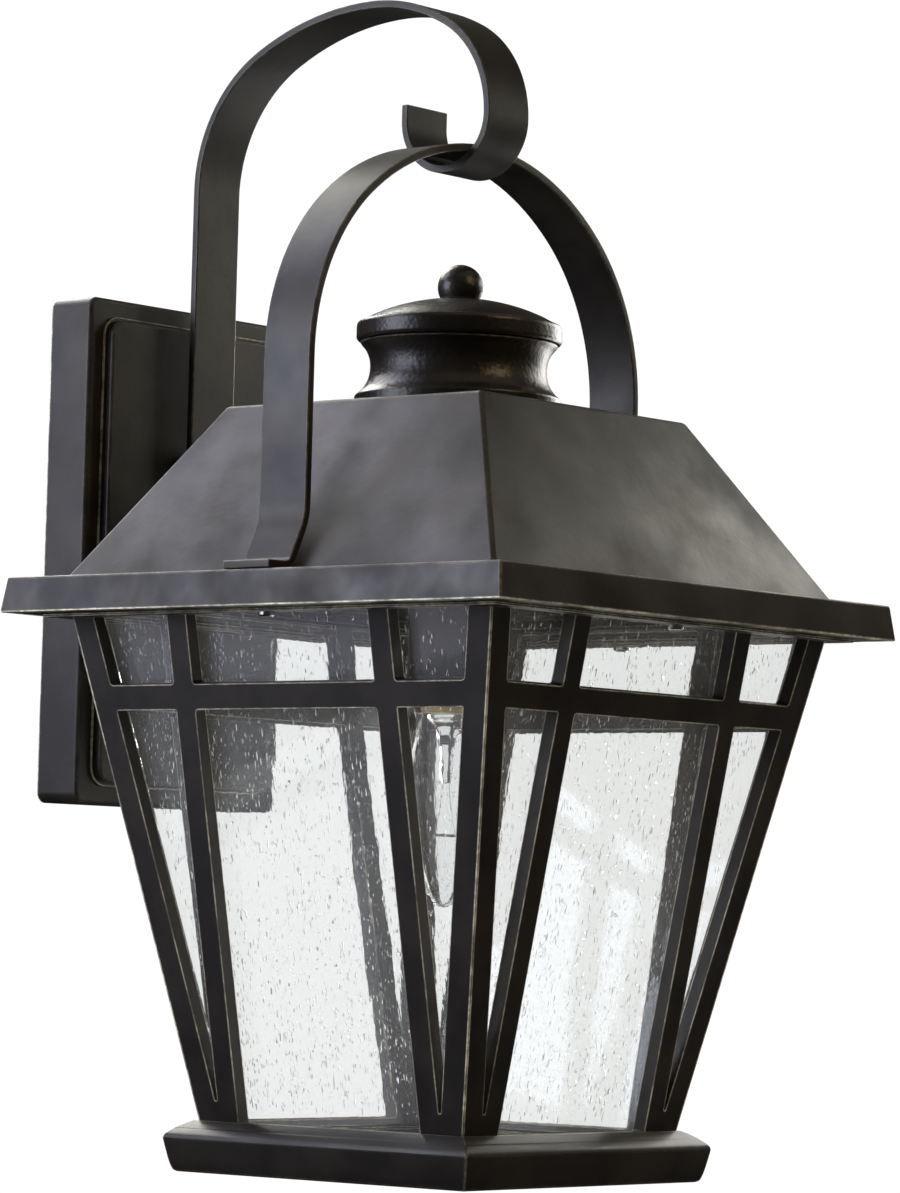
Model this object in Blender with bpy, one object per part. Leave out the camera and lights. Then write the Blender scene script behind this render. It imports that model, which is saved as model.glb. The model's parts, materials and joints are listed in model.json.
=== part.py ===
# Outdoor wall lantern: hooked strap arm, tapered seeded-glass cage, hipped roof, vented cap.
# Metres, +Z up, wall plane at y = 0, lantern in front of the wall towards -Y.
import math

import bmesh
import bpy
from mathutils import Matrix, Vector

MM = 0.001
GAP = 0.3 * MM                     # clearance between touching pieces

# Wall side
PLATE_W = 122 * MM
PLATE_H = 208 * MM
PLATE_D = 22 * MM
PLATE_R = 4.5 * MM
PLATE_T = 1.4 * MM
PANEL_W = 104 * MM
PANEL_H = 190 * MM
PANEL_D = 4.2 * MM
PANEL_R = 6.5 * MM
PANEL_LIP = 1.6 * MM
PANEL_FRONT = -(PLATE_D + GAP + PANEL_D)
BRACKET = (102 * MM, 2.6 * MM, 24 * MM)
STUD_X = 38 * MM
STUD_R = 2.0 * MM

# Straps
STRAP_T = 3.2 * MM
ARM_W = 25.4 * MM
ARM_FRONT = -35.7 * MM             # front face of the upright run
ARM_RISE = 169.5 * MM              # where the upright run starts to curve, above the eave
ARM_ARCS = ((60.0, 62.0), (125.0, 28.0), (81.3, 28.0), (43.0, 62.0))
HOOK_R = 19.6 * MM                 # inside of the curl
HOOK_TIP = 6.5 * MM
BAIL_W = 23.6 * MM
BAIL_TOP_R = 111.8 * MM
BAIL_SHOULDER_R = 89.6 * MM
BAIL_SPLIT = math.radians(40)

# Lantern body, heights from the top edge of the eave band
EAVE_Z = -17 * MM
AXIS_Y = -167.6 * MM
EAVE_TOP = 125.1 * MM
EAVE_LOW = 127.0 * MM
EAVE_H = 14 * MM
ROOF_FOOT = 108.3 * MM
ROOF_TOP = 66.2 * MM
ROOF_H = 71 * MM
SHEET = 1.6 * MM
CAGE_AT_ZERO = 109.6 * MM
CAGE_TAPER = 0.2002
CAGE_TOP_Z = -7 * MM
CAGE_FOOT_Z = -215.8 * MM
FRAME_D = 6.0 * MM
POST_W = 11.3 * MM
MUNTIN_IN = 46.2 * MM
MUNTIN_OUT = 56.2 * MM
BAR_TOP_Z = -42.0 * MM
BAR_LOW_Z = -51.8 * MM
GLASS_T = 3.0 * MM
BASE_TOP_Z = -212.3 * MM
BASE_EDGE = 77.3 * MM
BASE_EDGE_Z = -218.2 * MM
BASE_LOW = 74.6 * MM
BASE_LOW_Z = -232.0 * MM
TUBE_Z = 30 * MM
TUBE_R = 6.35 * MM

ROUND = 40                         # sides of turned pieces

BRONZE = (0.045, 0.038, 0.033, 1)
STEEL = (0.42, 0.41, 0.40, 1)
BRASS = (0.60, 0.44, 0.20, 1)
CLEAR = (0.90, 0.93, 0.93, 1)


def clear_scene():
    for item in list(bpy.data.objects):
        bpy.data.objects.remove(item, do_unlink=True)


def finish(name, bm, color, rough, metal, place=(0, 0, 0), smooth=None):
    """Turn a bmesh into a named object with its own material."""
    bmesh.ops.remove_doubles(bm, verts=bm.verts, dist=1e-7)
    bmesh.ops.recalc_face_normals(bm, faces=bm.faces)
    mesh = bpy.data.meshes.new(name)
    bm.to_mesh(mesh)
    bm.free()
    if smooth:
        mesh.shade_smooth()
        mesh.set_sharp_from_angle(angle=math.radians(smooth))
    mat = bpy.data.materials.new(name)
    mat.use_nodes = True
    shader = mat.node_tree.nodes["Principled BSDF"]
    shader.inputs["Base Color"].default_value = color
    shader.inputs["Roughness"].default_value = rough
    shader.inputs["Metallic"].default_value = metal
    mesh.materials.append(mat)
    obj = bpy.data.objects.new(name, mesh)
    bpy.context.scene.collection.objects.link(obj)
    obj.location = place
    return obj


def cutter(name, bm, place=(0, 0, 0)):
    bmesh.ops.recalc_face_normals(bm, faces=bm.faces)
    mesh = bpy.data.meshes.new(name)
    bm.to_mesh(mesh)
    bm.free()
    obj = bpy.data.objects.new(name, mesh)
    bpy.context.scene.collection.objects.link(obj)
    obj.location = place
    obj.hide_render = True
    obj.display_type = "WIRE"
    return obj


def cut(target, bm, place=(0, 0, 0)):
    tool = cutter("cut_" + target.name + "_%d" % len(target.modifiers), bm, place)
    mod = target.modifiers.new("cut", "BOOLEAN")
    mod.operation = "DIFFERENCE"
    mod.solver = "EXACT"
    mod.object = tool


def skin_rings(bm, rings, closed=False, cap=True):
    """Join equal rings of points with quads; cap the two ends or close the loop of rings."""
    verts = [[bm.verts.new(p) for p in ring] for ring in rings]
    count = len(rings)
    last = count if closed else count - 1
    for i in range(last):
        a = verts[i]
        b = verts[(i + 1) % count]
        n = len(a)
        for k in range(n):
            bm.faces.new((a[k], a[(k + 1) % n], b[(k + 1) % n], b[k]))
    if cap and not closed:
        bm.faces.new(verts[0][::-1])
        bm.faces.new(verts[-1])
    return verts


def rounded_rect(w, h, r, steps=4):
    """Corner-rounded rectangle centred on zero, as (u, v) pairs."""
    pts = []
    for cx, cy, start in ((1, 1, 0), (-1, 1, 90), (-1, -1, 180), (1, -1, 270)):
        for k in range(steps + 1):
            a = math.radians(start + 90 * k / steps)
            pts.append((cx * (w / 2 - r) + r * math.cos(a), cy * (h / 2 - r) + r * math.sin(a)))
    return pts


def square_ring(half, z, r=0.8 * MM, steps=2):
    return [Vector((u, v, z)) for u, v in rounded_rect(2 * half, 2 * half, min(r, half * 0.9), steps)]


def square_turn(profile):
    """Closed body made by carrying a closed (half width, height, corner radius) profile round a square."""
    bm = bmesh.new()
    skin_rings(bm, [square_ring(h, z, r) for h, z, r in profile], closed=True)
    return bm


def turned(profile, sides=ROUND):
    """Body of revolution about Z from (radius, height) points; points on the axis close it."""
    bm = bmesh.new()
    verts = [bm.verts.new((r, 0, z)) for r, z in profile]
    edges = [bm.edges.new((verts[i], verts[i + 1])) for i in range(len(verts) - 1)]
    if profile[0][0] > 0 or profile[-1][0] > 0:
        edges.append(bm.edges.new((verts[-1], verts[0])))
    bmesh.ops.spin(bm, geom=verts + edges, cent=(0, 0, 0), axis=(0, 0, 1), angle=2 * math.pi,
                   steps=sides, use_merge=True)
    bmesh.ops.remove_doubles(bm, verts=bm.verts, dist=1e-7)
    return bm


def lay_along_y(bm):
    """Point a body that was turned about +Z along -Y."""
    bmesh.ops.rotate(bm, verts=bm.verts, cent=(0, 0, 0), matrix=Matrix.Rotation(math.radians(90), 3, "X"))
    return bm


def rod(radius, length, bore=0.0, sides=16):
    if bore:
        return turned([(radius, 0), (radius, length), (bore, length), (bore, 0)], sides)
    return turned([(0, 0), (radius, 0), (radius, length), (0, length)], sides)


def hex_nut(across, length):
    """Solid hexagonal nut along +Z with eased rims; its hole is cut afterwards."""
    bm = bmesh.new()
    corner = across / 2 / math.cos(math.radians(30))
    rings = []
    for z in (0, length):
        turns = [math.radians(60 * k + 30) for k in range(6)]
        rings.append([Vector((corner * math.cos(a), corner * math.sin(a), z)) for a in turns])
    skin_rings(bm, rings)
    rims = [e for e in bm.edges if abs(e.verts[0].co.z - e.verts[1].co.z) < 1e-9]
    bmesh.ops.bevel(bm, geom=rims, offset=0.06 * across, segments=1, affect="EDGES")
    return bm


def swept_strap(path, width, thick, across):
    """Flat strap: a rectangle carried along a planar path; `across` is the width direction."""
    bm = bmesh.new()
    section = rounded_rect(width, thick, 0.5 * MM, 1)
    rings = []
    for i, point in enumerate(path):
        before = path[max(i - 1, 0)]
        after = path[min(i + 1, len(path) - 1)]
        along = (after - before).normalized()
        normal = along.cross(across).normalized()
        rings.append([point + across * u + normal * v for u, v in section])
    skin_rings(bm, rings)
    return bm


def arc_path(start, heading, pieces, plane):
    """Walk straight runs ('line', length) and arcs ('arc', radius, degrees) in a plane.

    plane is a pair of axes (p, q); heading is an angle from p towards q.
    """
    p, q = plane
    here = start.copy()
    angle = heading
    points = [here.copy()]
    for kind, *rest in pieces:
        if kind == "line":
            here = here + (p * math.cos(angle) + q * math.sin(angle)) * rest[0]
            points.append(here.copy())
            continue
        radius, degrees = rest
        steps = max(3, int(abs(degrees) / 7.5))
        turn = math.radians(degrees) / steps
        chord = 2 * radius * math.sin(abs(turn) / 2)
        for _ in range(steps):
            angle += turn / 2
            here = here + (p * math.cos(angle) + q * math.sin(angle)) * chord
            angle += turn / 2
            points.append(here.copy())
    return points


def pan(w, h, r, depth, sheet, ease, lip=0.0, lip_t=0.0):
    """Shallow pressed pan open towards +Y, front face at -Y; optional thin flange round its foot."""
    bm = bmesh.new()

    def loop(shrink, y):
        pts = rounded_rect(w - 2 * shrink, h - 2 * shrink, max(r - shrink, 0.4 * MM))
        return [Vector((u, y, v)) for u, v in pts]

    rings = [loop(sheet, 0), loop(-lip, 0)]
    if lip:
        rings += [loop(-lip, -lip_t), loop(0, -lip_t)]
    rings += [loop(0, -depth + ease), loop(ease * 0.3, -depth + ease * 0.3), loop(ease, -depth)]
    front = skin_rings(bm, rings, cap=False)
    inner = skin_rings(bm, [loop(sheet, 0), loop(sheet, -depth + sheet)], cap=False)
    bm.faces.new(front[-1])
    bm.faces.new(inner[-1])
    bmesh.ops.remove_doubles(bm, verts=bm.verts, dist=1e-7)
    return bm


def cage_half(z):
    return CAGE_AT_ZERO + CAGE_TAPER * z


# ---------------------------------------------------------------- wall side
def build_wall_side():
    plate = finish("wall_plate", pan(PLATE_W, PLATE_H, PLATE_R, PLATE_D, PLATE_T, 1.2 * MM),
                   BRONZE, 0.42, 0.55)
    panel = finish("plate_panel",
                   pan(PANEL_W, PANEL_H, PANEL_R, PANEL_D, 1.2 * MM, 0.8 * MM, PANEL_LIP, 0.9 * MM),
                   BRONZE, 0.42, 0.55, (0, -PLATE_D - GAP, 0))
    for piece in (plate, panel):
        base = piece.location.y
        for x in (-STUD_X, STUD_X):
            cut(piece, lay_along_y(rod(STUD_R + GAP, 40 * MM)), (x, base + 5 * MM, 0))
        cut(piece, lay_along_y(rod(TUBE_R + GAP, 40 * MM, sides=24)), (0, base + 5 * MM, EAVE_Z + TUBE_Z))
        cut(piece, lay_along_y(rod(STUD_R + GAP, 40 * MM)), (0, base + 5 * MM, EAVE_Z + 56 * MM))

    bm = bmesh.new()
    length, thick, height = BRACKET
    rings = [[Vector((u, y, v)) for u, v in rounded_rect(length, height, 5 * MM, 4)] for y in (0, -thick)]
    skin_rings(bm, rings)
    bracket = finish("mounting_bracket", bm, STEEL, 0.35, 0.9)
    for x in (-STUD_X, STUD_X):
        cut(bracket, lay_along_y(rod(STUD_R + GAP, 20 * MM)), (x, 10 * MM, 0))
    for x in (-20 * MM, 20 * MM):
        slot = bmesh.new()
        rings = [[Vector((u, y, v)) for u, v in rounded_rect(15 * MM, 4.6 * MM, 2.25 * MM, 4)]
                 for y in (8 * MM, -12 * MM)]
        skin_rings(slot, rings)
        cut(bracket, slot, (x, 0, 0))
    cut(bracket, lay_along_y(rod(1.8 * MM + GAP, 20 * MM)), (0, 10 * MM, -7.5 * MM))

    for side, x in (("left", -STUD_X), ("right", STUD_X)):
        finish("stud_" + side, lay_along_y(rod(STUD_R, 30.5 * MM)), STEEL, 0.3, 1.0, (x, -0.4 * MM, 0), 40)
        nut = turned([(2.3 * MM, 0), (4.9 * MM, 0), (5.2 * MM, 0.4 * MM), (5.2 * MM, 2.6 * MM),
                      (4.8 * MM, 4.6 * MM), (3.6 * MM, 6.3 * MM), (1.9 * MM, 7.2 * MM), (0, 7.5 * MM),
                      (0, 5.2 * MM), (2.3 * MM, 5.2 * MM)], 20)
        finish("cap_nut_" + side, lay_along_y(nut), BRONZE, 0.4, 0.6, (x, PANEL_FRONT - GAP, 0), 35)

    head = turned([(0, 0), (1.8 * MM, 0), (1.8 * MM, 3.2 * MM), (3.4 * MM, 3.2 * MM), (3.4 * MM, 4.6 * MM),
                   (2.6 * MM, 5.3 * MM), (0, 5.5 * MM)], 24)
    finish("ground_screw", lay_along_y(head), (0.05, 0.25, 0.08, 1), 0.35, 0.7, (0, -0.2 * MM, -7.5 * MM), 35)


# ---------------------------------------------------------------- arm strap and tube
def roof_half(z):
    """Half width of the hipped roof's outer skin at a height above the eave."""
    return ROOF_FOOT - (z - 0.8 * MM) * (ROOF_FOOT - ROOF_TOP) / (ROOF_H - 1.8 * MM)


def slope_ended_ring(radius, bore, flat_y, skin, sides=32):
    """Round sleeve along Y at the tube's height: one end flat, the other following the roof slope."""
    bm = bmesh.new()

    def ring(r, sloped):
        pts = []
        for k in range(sides):
            a = 2 * math.pi * k / sides
            z = TUBE_Z + r * math.sin(a)
            y = skin(z) if sloped else flat_y
            pts.append(Vector((r * math.cos(a), AXIS_Y + y if sloped else y, EAVE_Z + z)))
        return pts

    skin_rings(bm, [ring(radius, False), ring(radius, True), ring(bore, True), ring(bore, False)], closed=True)
    return bm


def arm_path():
    mid_y = ARM_FRONT + STRAP_T / 2
    foot_z = EAVE_Z + TUBE_Z - 13 * MM
    pieces = [("line", EAVE_Z + ARM_RISE - foot_z)]
    for radius, degrees in ARM_ARCS:
        pieces.append(("arc", radius * MM + STRAP_T / 2, degrees))
    rise = arc_path(Vector((0, mid_y, foot_z)), math.radians(90), pieces,
                    (Vector((0, 1, 0)), Vector((0, 0, 1))))
    curl = [("arc", HOOK_R + STRAP_T / 2, 180), ("line", HOOK_TIP)]
    down = arc_path(rise[-1], math.radians(270), curl, (Vector((0, 1, 0)), Vector((0, 0, 1))))
    return rise + down[1:], rise[-1].z


def build_arm():
    path, curl_z = arm_path()
    strap = finish("arm_strap", swept_strap(path, ARM_W, STRAP_T, Vector((1, 0, 0))), BRONZE, 0.4, 0.6)
    for z, r in ((TUBE_Z, TUBE_R), (56 * MM, STUD_R)):
        cut(strap, lay_along_y(rod(r + GAP, 20 * MM, sides=24)), (0, ARM_FRONT + 12 * MM, EAVE_Z + z))

    tube_z = EAVE_Z + TUBE_Z
    bore = TUBE_R + GAP
    finish("arm_tube", lay_along_y(rod(TUBE_R, 89 * MM, 4.6 * MM, 32)), STEEL, 0.4, 0.9,
           (0, -4 * MM, tube_z), 40)
    back = ARM_FRONT + STRAP_T
    finish("tube_collar", lay_along_y(rod(10 * MM, PANEL_FRONT - back - 2 * GAP, bore, 32)), BRONZE, 0.42, 0.55,
           (0, PANEL_FRONT - GAP, tube_z), 40)
    for name, y, z, across, thick, hole in (
            ("tube_nut_plate", -15.2 * MM, TUBE_Z, 19 * MM, 4.8 * MM, bore),
            ("tube_nut_strap", ARM_FRONT - GAP, TUBE_Z, 19 * MM, 4.8 * MM, bore),
            ("tube_nut_boss", -52 * MM, TUBE_Z, 19 * MM, 4.8 * MM, bore),
            ("tube_nut_roof", -87.4 * MM, TUBE_Z, 19 * MM, 4.2 * MM, bore),
            ("strap_nut", -17.2 * MM, 56 * MM, 8 * MM, 3 * MM, STUD_R + GAP)):
        finish(name, lay_along_y(hex_nut(across, thick)), STEEL, 0.35, 0.9, (0, y, EAVE_Z + z))
        nut = bpy.data.objects[name]
        cut(nut, lay_along_y(rod(hole, 20 * MM, sides=24)), (0, y + 5 * MM, EAVE_Z + z))
    finish("roof_boss", slope_ended_ring(12 * MM, bore, -57.2 * MM, lambda z: roof_half(z) + 0.4 * MM),
           BRONZE, 0.42, 0.55, (0, 0, 0), 40)
    finish("wedge_washer", slope_ended_ring(9 * MM, bore, -87 * MM, lambda z: roof_half(z) - 2.3 * MM),
           STEEL, 0.35, 0.9, (0, 0, 0), 40)

    spacer = lay_along_y(rod(5 * MM, PANEL_FRONT - back - 2 * GAP, STUD_R + GAP, 24))
    finish("strap_spacer", spacer, BRONZE, 0.42, 0.55, (0, PANEL_FRONT - GAP, EAVE_Z + 56 * MM), 40)
    screw = turned([(0, 0), (STUD_R, 0), (STUD_R, 20.2 * MM), (4.2 * MM, 20.2 * MM), (4.2 * MM, 21.2 * MM),
                    (3.2 * MM, 22.6 * MM), (0, 23 * MM)], 20)
    finish("strap_screw", lay_along_y(screw), BRONZE, 0.4, 0.6,
           (0, ARM_FRONT - GAP + 20.2 * MM, EAVE_Z + 56 * MM), 35)
    return curl_z


def build_bail(curl_z):
    """Hoop across the lantern, its top resting in the curl of the hook."""
    sag = (ARM_W / 2) ** 2 / (2 * BAIL_TOP_R)
    under = curl_z - math.sqrt(HOOK_R ** 2 - (BAIL_W / 2) ** 2) + sag + 0.5 * MM
    apex = under + STRAP_T / 2
    top_r = BAIL_TOP_R - STRAP_T / 2
    side_r = BAIL_SHOULDER_R - STRAP_T / 2
    spring_x = top_r * math.sin(BAIL_SPLIT) + side_r * (1 - math.sin(BAIL_SPLIT))
    spring_z = apex - top_r * (1 - math.cos(BAIL_SPLIT)) - side_r * math.cos(BAIL_SPLIT)
    lean = math.radians(25)
    kick_r = 26 * MM
    bend_r = 5 * MM
    flat = 9.4 * MM
    foot_z = EAVE_Z + GAP + STRAP_T / 2
    kick_top = EAVE_Z + 27 * MM
    rise = kick_top - kick_r * math.sin(lean) - foot_z - bend_r * (1 - math.sin(lean))
    slant = rise / math.cos(lean)
    foot_x = (spring_x + kick_r * (1 - math.cos(lean)) + slant * math.sin(lean)
              + bend_r * math.cos(lean) + flat)
    split = math.degrees(BAIL_SPLIT)
    half = [("line", flat), ("arc", bend_r, 65), ("line", slant), ("arc", kick_r, 25),
            ("line", spring_z - kick_top), ("arc", side_r, split - 90), ("arc", top_r, -split)]
    left = arc_path(Vector((-foot_x, AXIS_Y, foot_z)), 0.0, half, (Vector((1, 0, 0)), Vector((0, 0, 1))))
    right = [Vector((-p.x, p.y, p.z)) for p in reversed(left[:-1])]
    bail = finish("bail_strap", swept_strap(left + right, BAIL_W, STRAP_T, Vector((0, 1, 0))), BRONZE, 0.4, 0.6)
    screw_x = foot_x - 4.6 * MM
    for side, sign in (("left", -1), ("right", 1)):
        spot = (sign * screw_x, AXIS_Y, EAVE_Z - 4.2 * MM)
        cut(bail, rod(1.5 * MM + GAP, 6.9 * MM), spot)
        screw = turned([(0, 0), (2.6 * MM, 0.3 * MM), (3.0 * MM, 1.0 * MM), (3.0 * MM, 2.2 * MM),
                        (1.5 * MM, 2.2 * MM), (1.5 * MM, 6.4 * MM), (0, 6.4 * MM)], 24)
        finish("bail_screw_" + side, screw, STEEL, 0.35, 0.9, spot, 35)
    return screw_x


# ---------------------------------------------------------------- roof, vent and finial
def build_roof(screw_x):
    r = 1.0 * MM
    inner = 1.9 * MM
    top_z = ROOF_H
    profile = [(EAVE_LOW - 0.4 * MM, -EAVE_H, r), (EAVE_LOW, -EAVE_H + 0.5 * MM, r),
               (EAVE_TOP, -0.9 * MM, r), (EAVE_TOP - 0.8 * MM, 0, r), (ROOF_FOOT + 0.9 * MM, 0, r),
               (ROOF_FOOT, 0.8 * MM, r), (roof_half(top_z - 1.2 * MM), top_z - 1.2 * MM, 2.2 * MM),
               (roof_half(top_z) - 1.0 * MM, top_z, 2.2 * MM), (4 * MM, top_z, 0.5 * MM),
               (4 * MM, top_z - SHEET, 0.5 * MM), (roof_half(top_z - SHEET) - inner, top_z - SHEET, 1.0 * MM),
               (roof_half(-SHEET) - inner, -SHEET, r), (EAVE_TOP - SHEET, -SHEET, r),
               (EAVE_LOW - SHEET, -EAVE_H, r)]
    roof = finish("roof_shell", square_turn(profile), BRONZE, 0.38, 0.6, (0, AXIS_Y, EAVE_Z))
    cut(roof, lay_along_y(rod(TUBE_R + GAP, 40 * MM, sides=24)), (0, -60 * MM, EAVE_Z + TUBE_Z))
    for sign in (-1, 1):
        cut(roof, rod(1.5 * MM + GAP, 8 * MM), (sign * screw_x, AXIS_Y, EAVE_Z - 4 * MM))

    opening = cage_half(CAGE_TOP_Z) + 0.5 * MM
    low = -EAVE_H
    soffit = finish("soffit", square_turn([(EAVE_LOW - SHEET - 0.6 * MM, low, r),
                                           (EAVE_LOW - SHEET - 0.6 * MM, low + SHEET, r),
                                           (opening, low + SHEET, r), (opening, low, r)]),
                    BRONZE, 0.42, 0.55, (0, AXIS_Y, EAVE_Z))
    for x, y in cage_screw_spots():
        cut(soffit, rod(1.5 * MM + GAP, 10 * MM), (x, y, EAVE_Z - 20 * MM))

    neck = turned([(41.2 * MM, 71.3 * MM), (41.4 * MM, 77.4 * MM), (40.6 * MM, 78.3 * MM),
                   (38.0 * MM, 80.8 * MM), (36.2 * MM, 84.2 * MM), (35.4 * MM, 88.4 * MM),
                   (35.7 * MM, 92.0 * MM), (36.9 * MM, 95.2 * MM), (38.8 * MM, 97.8 * MM),
                   (39.6 * MM, 99.0 * MM), (33.4 * MM, 99.0 * MM), (33.4 * MM, 71.3 * MM)], ROUND)
    finish("vent_neck", neck, BRONZE, 0.32, 0.7, (0, AXIS_Y, EAVE_Z), 50)
    cap = turned([(39.6 * MM, 99.3 * MM), (41.1 * MM, 100.4 * MM), (41.2 * MM, 105.4 * MM),
                  (40.4 * MM, 107.0 * MM), (38.9 * MM, 107.6 * MM), (38.3 * MM, 108.0 * MM),
                  (33.0 * MM, 110.6 * MM), (26.0 * MM, 113.2 * MM), (18.0 * MM, 115.4 * MM),
                  (9.4 * MM, 116.8 * MM), (3.4 * MM, 117.0 * MM), (3.4 * MM, 115.3 * MM),
                  (18.0 * MM, 113.6 * MM), (33.0 * MM, 108.6 * MM), (38.0 * MM, 105.4 * MM),
                  (38.0 * MM, 99.3 * MM)], ROUND)
    finish("vent_cap", cap, BRONZE, 0.32, 0.7, (0, AXIS_Y, EAVE_Z), 28)

    centre = 122.0 * MM
    radius = 9.2 * MM
    low = -math.asin(4.7 / 9.2)
    ball = [(3.3 * MM, centre + radius * math.sin(low))]
    for k in range(11):
        a = low + (math.pi / 2 - low) * k / 10
        ball.append((radius * math.cos(a) if k < 10 else 0.0, centre + radius * math.sin(a)))
    ball += [(0, 126.0 * MM), (3.3 * MM, 126.0 * MM)]
    finish("finial_ball", turned(ball, 32), BRONZE, 0.28, 0.75, (0, AXIS_Y, EAVE_Z), 40)

    finish("center_rod", rod(3.0 * MM, 128.4 * MM, sides=24), STEEL, 0.35, 0.9,
           (0, AXIS_Y, EAVE_Z - 2.8 * MM), 40)
    for name, z, thick in (("rod_nut_roof", 64.2 * MM, 4.8 * MM), ("rod_nut_socket", -2.0 * MM, 3.2 * MM)):
        nut = finish(name, hex_nut(11 * MM, thick), STEEL, 0.35, 0.9,
                     (0, AXIS_Y, EAVE_Z + z))
        cut(nut, rod(3.3 * MM, 20 * MM), (0, AXIS_Y, EAVE_Z + z - 5 * MM))


# ---------------------------------------------------------------- lampholder and bulb
def build_lamp():
    place = (0, AXIS_Y, EAVE_Z)
    cup = turned([(3.3 * MM, 3.2 * MM), (12.0 * MM, 3.2 * MM), (15.6 * MM, 1.2 * MM), (16.8 * MM, -3.0 * MM),
                  (16.8 * MM, -45.0 * MM), (17.2 * MM, -46.0 * MM), (15.8 * MM, -46.0 * MM),
                  (15.4 * MM, -45.0 * MM), (15.4 * MM, -3.4 * MM), (11.4 * MM, 1.6 * MM), (3.3 * MM, 1.6 * MM)], 32)
    finish("socket_cup", cup, BRONZE, 0.4, 0.6, place, 35)
    body = turned([(0, -6.0 * MM), (15.0 * MM, -6.0 * MM), (15.0 * MM, -45.4 * MM), (13.7 * MM, -45.4 * MM),
                   (13.7 * MM, -21.5 * MM), (0, -21.5 * MM)], 32)
    finish("socket_liner", body, (0.86, 0.84, 0.79, 1), 0.35, 0.0, place, 35)
    thread = [(0, -22.0 * MM), (4.4 * MM, -22.0 * MM), (5.4 * MM, -24.0 * MM), (12.0 * MM, -27.0 * MM)]
    for k in range(5):
        z = (-28.6 - 3.4 * k) * MM
        thread += [(13.2 * MM, z), (12.4 * MM, z - 1.7 * MM)]
    thread += [(13.0 * MM, -46.4 * MM), (12.6 * MM, -48.6 * MM), (0, -48.6 * MM)]
    finish("bulb_base", turned(thread, 24), BRASS, 0.3, 1.0, place, 40)
    outer = [(12.4, -49.0), (12.7, -53.0), (14.0, -59.0), (16.0, -67.0), (17.3, -75.0), (17.5, -83.0),
             (16.3, -92.0), (13.8, -101.0), (10.6, -110.0), (7.8, -117.0), (5.4, -122.0), (2.9, -124.7),
             (0.0, -125.6)]
    inner = [(0.0, -124.8), (2.4, -124.0), (4.7, -121.5), (7.0, -116.6), (9.8, -109.7), (13.0, -100.7),
             (15.5, -91.8), (16.7, -83.0), (16.5, -75.1), (15.2, -67.2), (13.2, -59.2), (11.9, -53.0),
             (11.6, -49.0)]
    finish("bulb_glass", turned([(r * MM, z * MM) for r, z in outer + inner], 28), CLEAR, 0.05, 0.0, place, 60)


# ---------------------------------------------------------------- cage
def cage_screw_spots():
    reach = cage_half(-14.8 * MM) + 4.6 * MM
    return [(-reach, AXIS_Y), (reach, AXIS_Y), (0, AXIS_Y - reach), (0, AXIS_Y + reach)]


def offset_polygon(points, amount):
    """Move every side of a convex counter-clockwise polygon outwards."""
    count = len(points)
    lines = []
    for i in range(count):
        a = Vector(points[i])
        b = Vector(points[(i + 1) % count])
        along = (b - a).normalized()
        normal = Vector((along.y, -along.x))
        lines.append((a + normal * amount, along))
    moved = []
    for i in range(count):
        p, d = lines[i - 1]
        q, e = lines[i]
        cross = d.x * e.y - d.y * e.x
        t = ((q - p).x * e.y - (q - p).y * e.x) / cross
        moved.append(p + d * t)
    return moved


def round_polygon(points, radius, steps=3):
    count = len(points)
    result = []
    for i in range(count):
        here = Vector(points[i])
        before = (Vector(points[i - 1]) - here).normalized()
        after = (Vector(points[(i + 1) % count]) - here).normalized()
        half = before.angle(after) / 2
        centre = here + (before + after).normalized() * (radius / math.sin(half))
        reach = radius / math.tan(half)
        first = here + before * reach
        last = here + after * reach
        start = math.atan2(first.y - centre.y, first.x - centre.x)
        sweep = math.atan2(last.y - centre.y, last.x - centre.x) - start
        sweep = (sweep + math.pi) % (2 * math.pi) - math.pi
        for k in range(steps + 1):
            a = start + sweep * k / steps
            result.append((centre.x + radius * math.cos(a), centre.y + radius * math.sin(a)))
    return result


def cage_windows():
    """Openings of one face as (counter-clockwise corner list, corner radius)."""
    top = -11.5 * MM
    foot = -213.2 * MM

    def post(z):
        return cage_half(z) - POST_W

    tip = (MUNTIN_OUT + POST_W - CAGE_AT_ZERO) / CAGE_TAPER
    soft = 1.4 * MM
    found = [([(-MUNTIN_IN, BAR_TOP_Z), (MUNTIN_IN, BAR_TOP_Z), (MUNTIN_IN, top), (-MUNTIN_IN, top)], soft),
             ([(-MUNTIN_IN, foot), (MUNTIN_IN, foot), (MUNTIN_IN, BAR_LOW_Z), (-MUNTIN_IN, BAR_LOW_Z)], soft),
             ([(MUNTIN_OUT, BAR_TOP_Z), (post(BAR_TOP_Z), BAR_TOP_Z), (post(top), top), (MUNTIN_OUT, top)], soft),
             ([(MUNTIN_OUT, tip), (post(BAR_LOW_Z), BAR_LOW_Z), (MUNTIN_OUT, BAR_LOW_Z)], 0.7 * MM)]
    for points, radius in found[2:]:
        found.append(([(-t, z) for t, z in reversed(points)], radius))
    return found


def face_point(t, z, depth, turn):
    """Point on a cage face: t across, z up the outer plane, depth inwards along the face normal."""
    lean = math.sqrt(1 + CAGE_TAPER ** 2)
    y = -cage_half(z) + depth / lean
    return turn @ Vector((t, y, z + CAGE_TAPER * depth / lean))


def rim_point(side, z, depth, back_off, turn):
    """Point on the mitre between two faces, at an exact height."""
    half = cage_half(z) - depth * math.sqrt(1 + CAGE_TAPER ** 2)
    return turn @ Vector((side * (half - back_off), -half, z))


def add_loop(bm, points):
    verts = [bm.verts.new(p) for p in points]
    edges = [bm.edges.new((verts[i], verts[(i + 1) % len(verts)])) for i in range(len(verts))]
    return verts, edges


def bridge_loops(bm, a, b):
    for i in range(len(a)):
        j = (i + 1) % len(a)
        bm.faces.new((a[i], a[j], b[j], b[i]))


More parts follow.
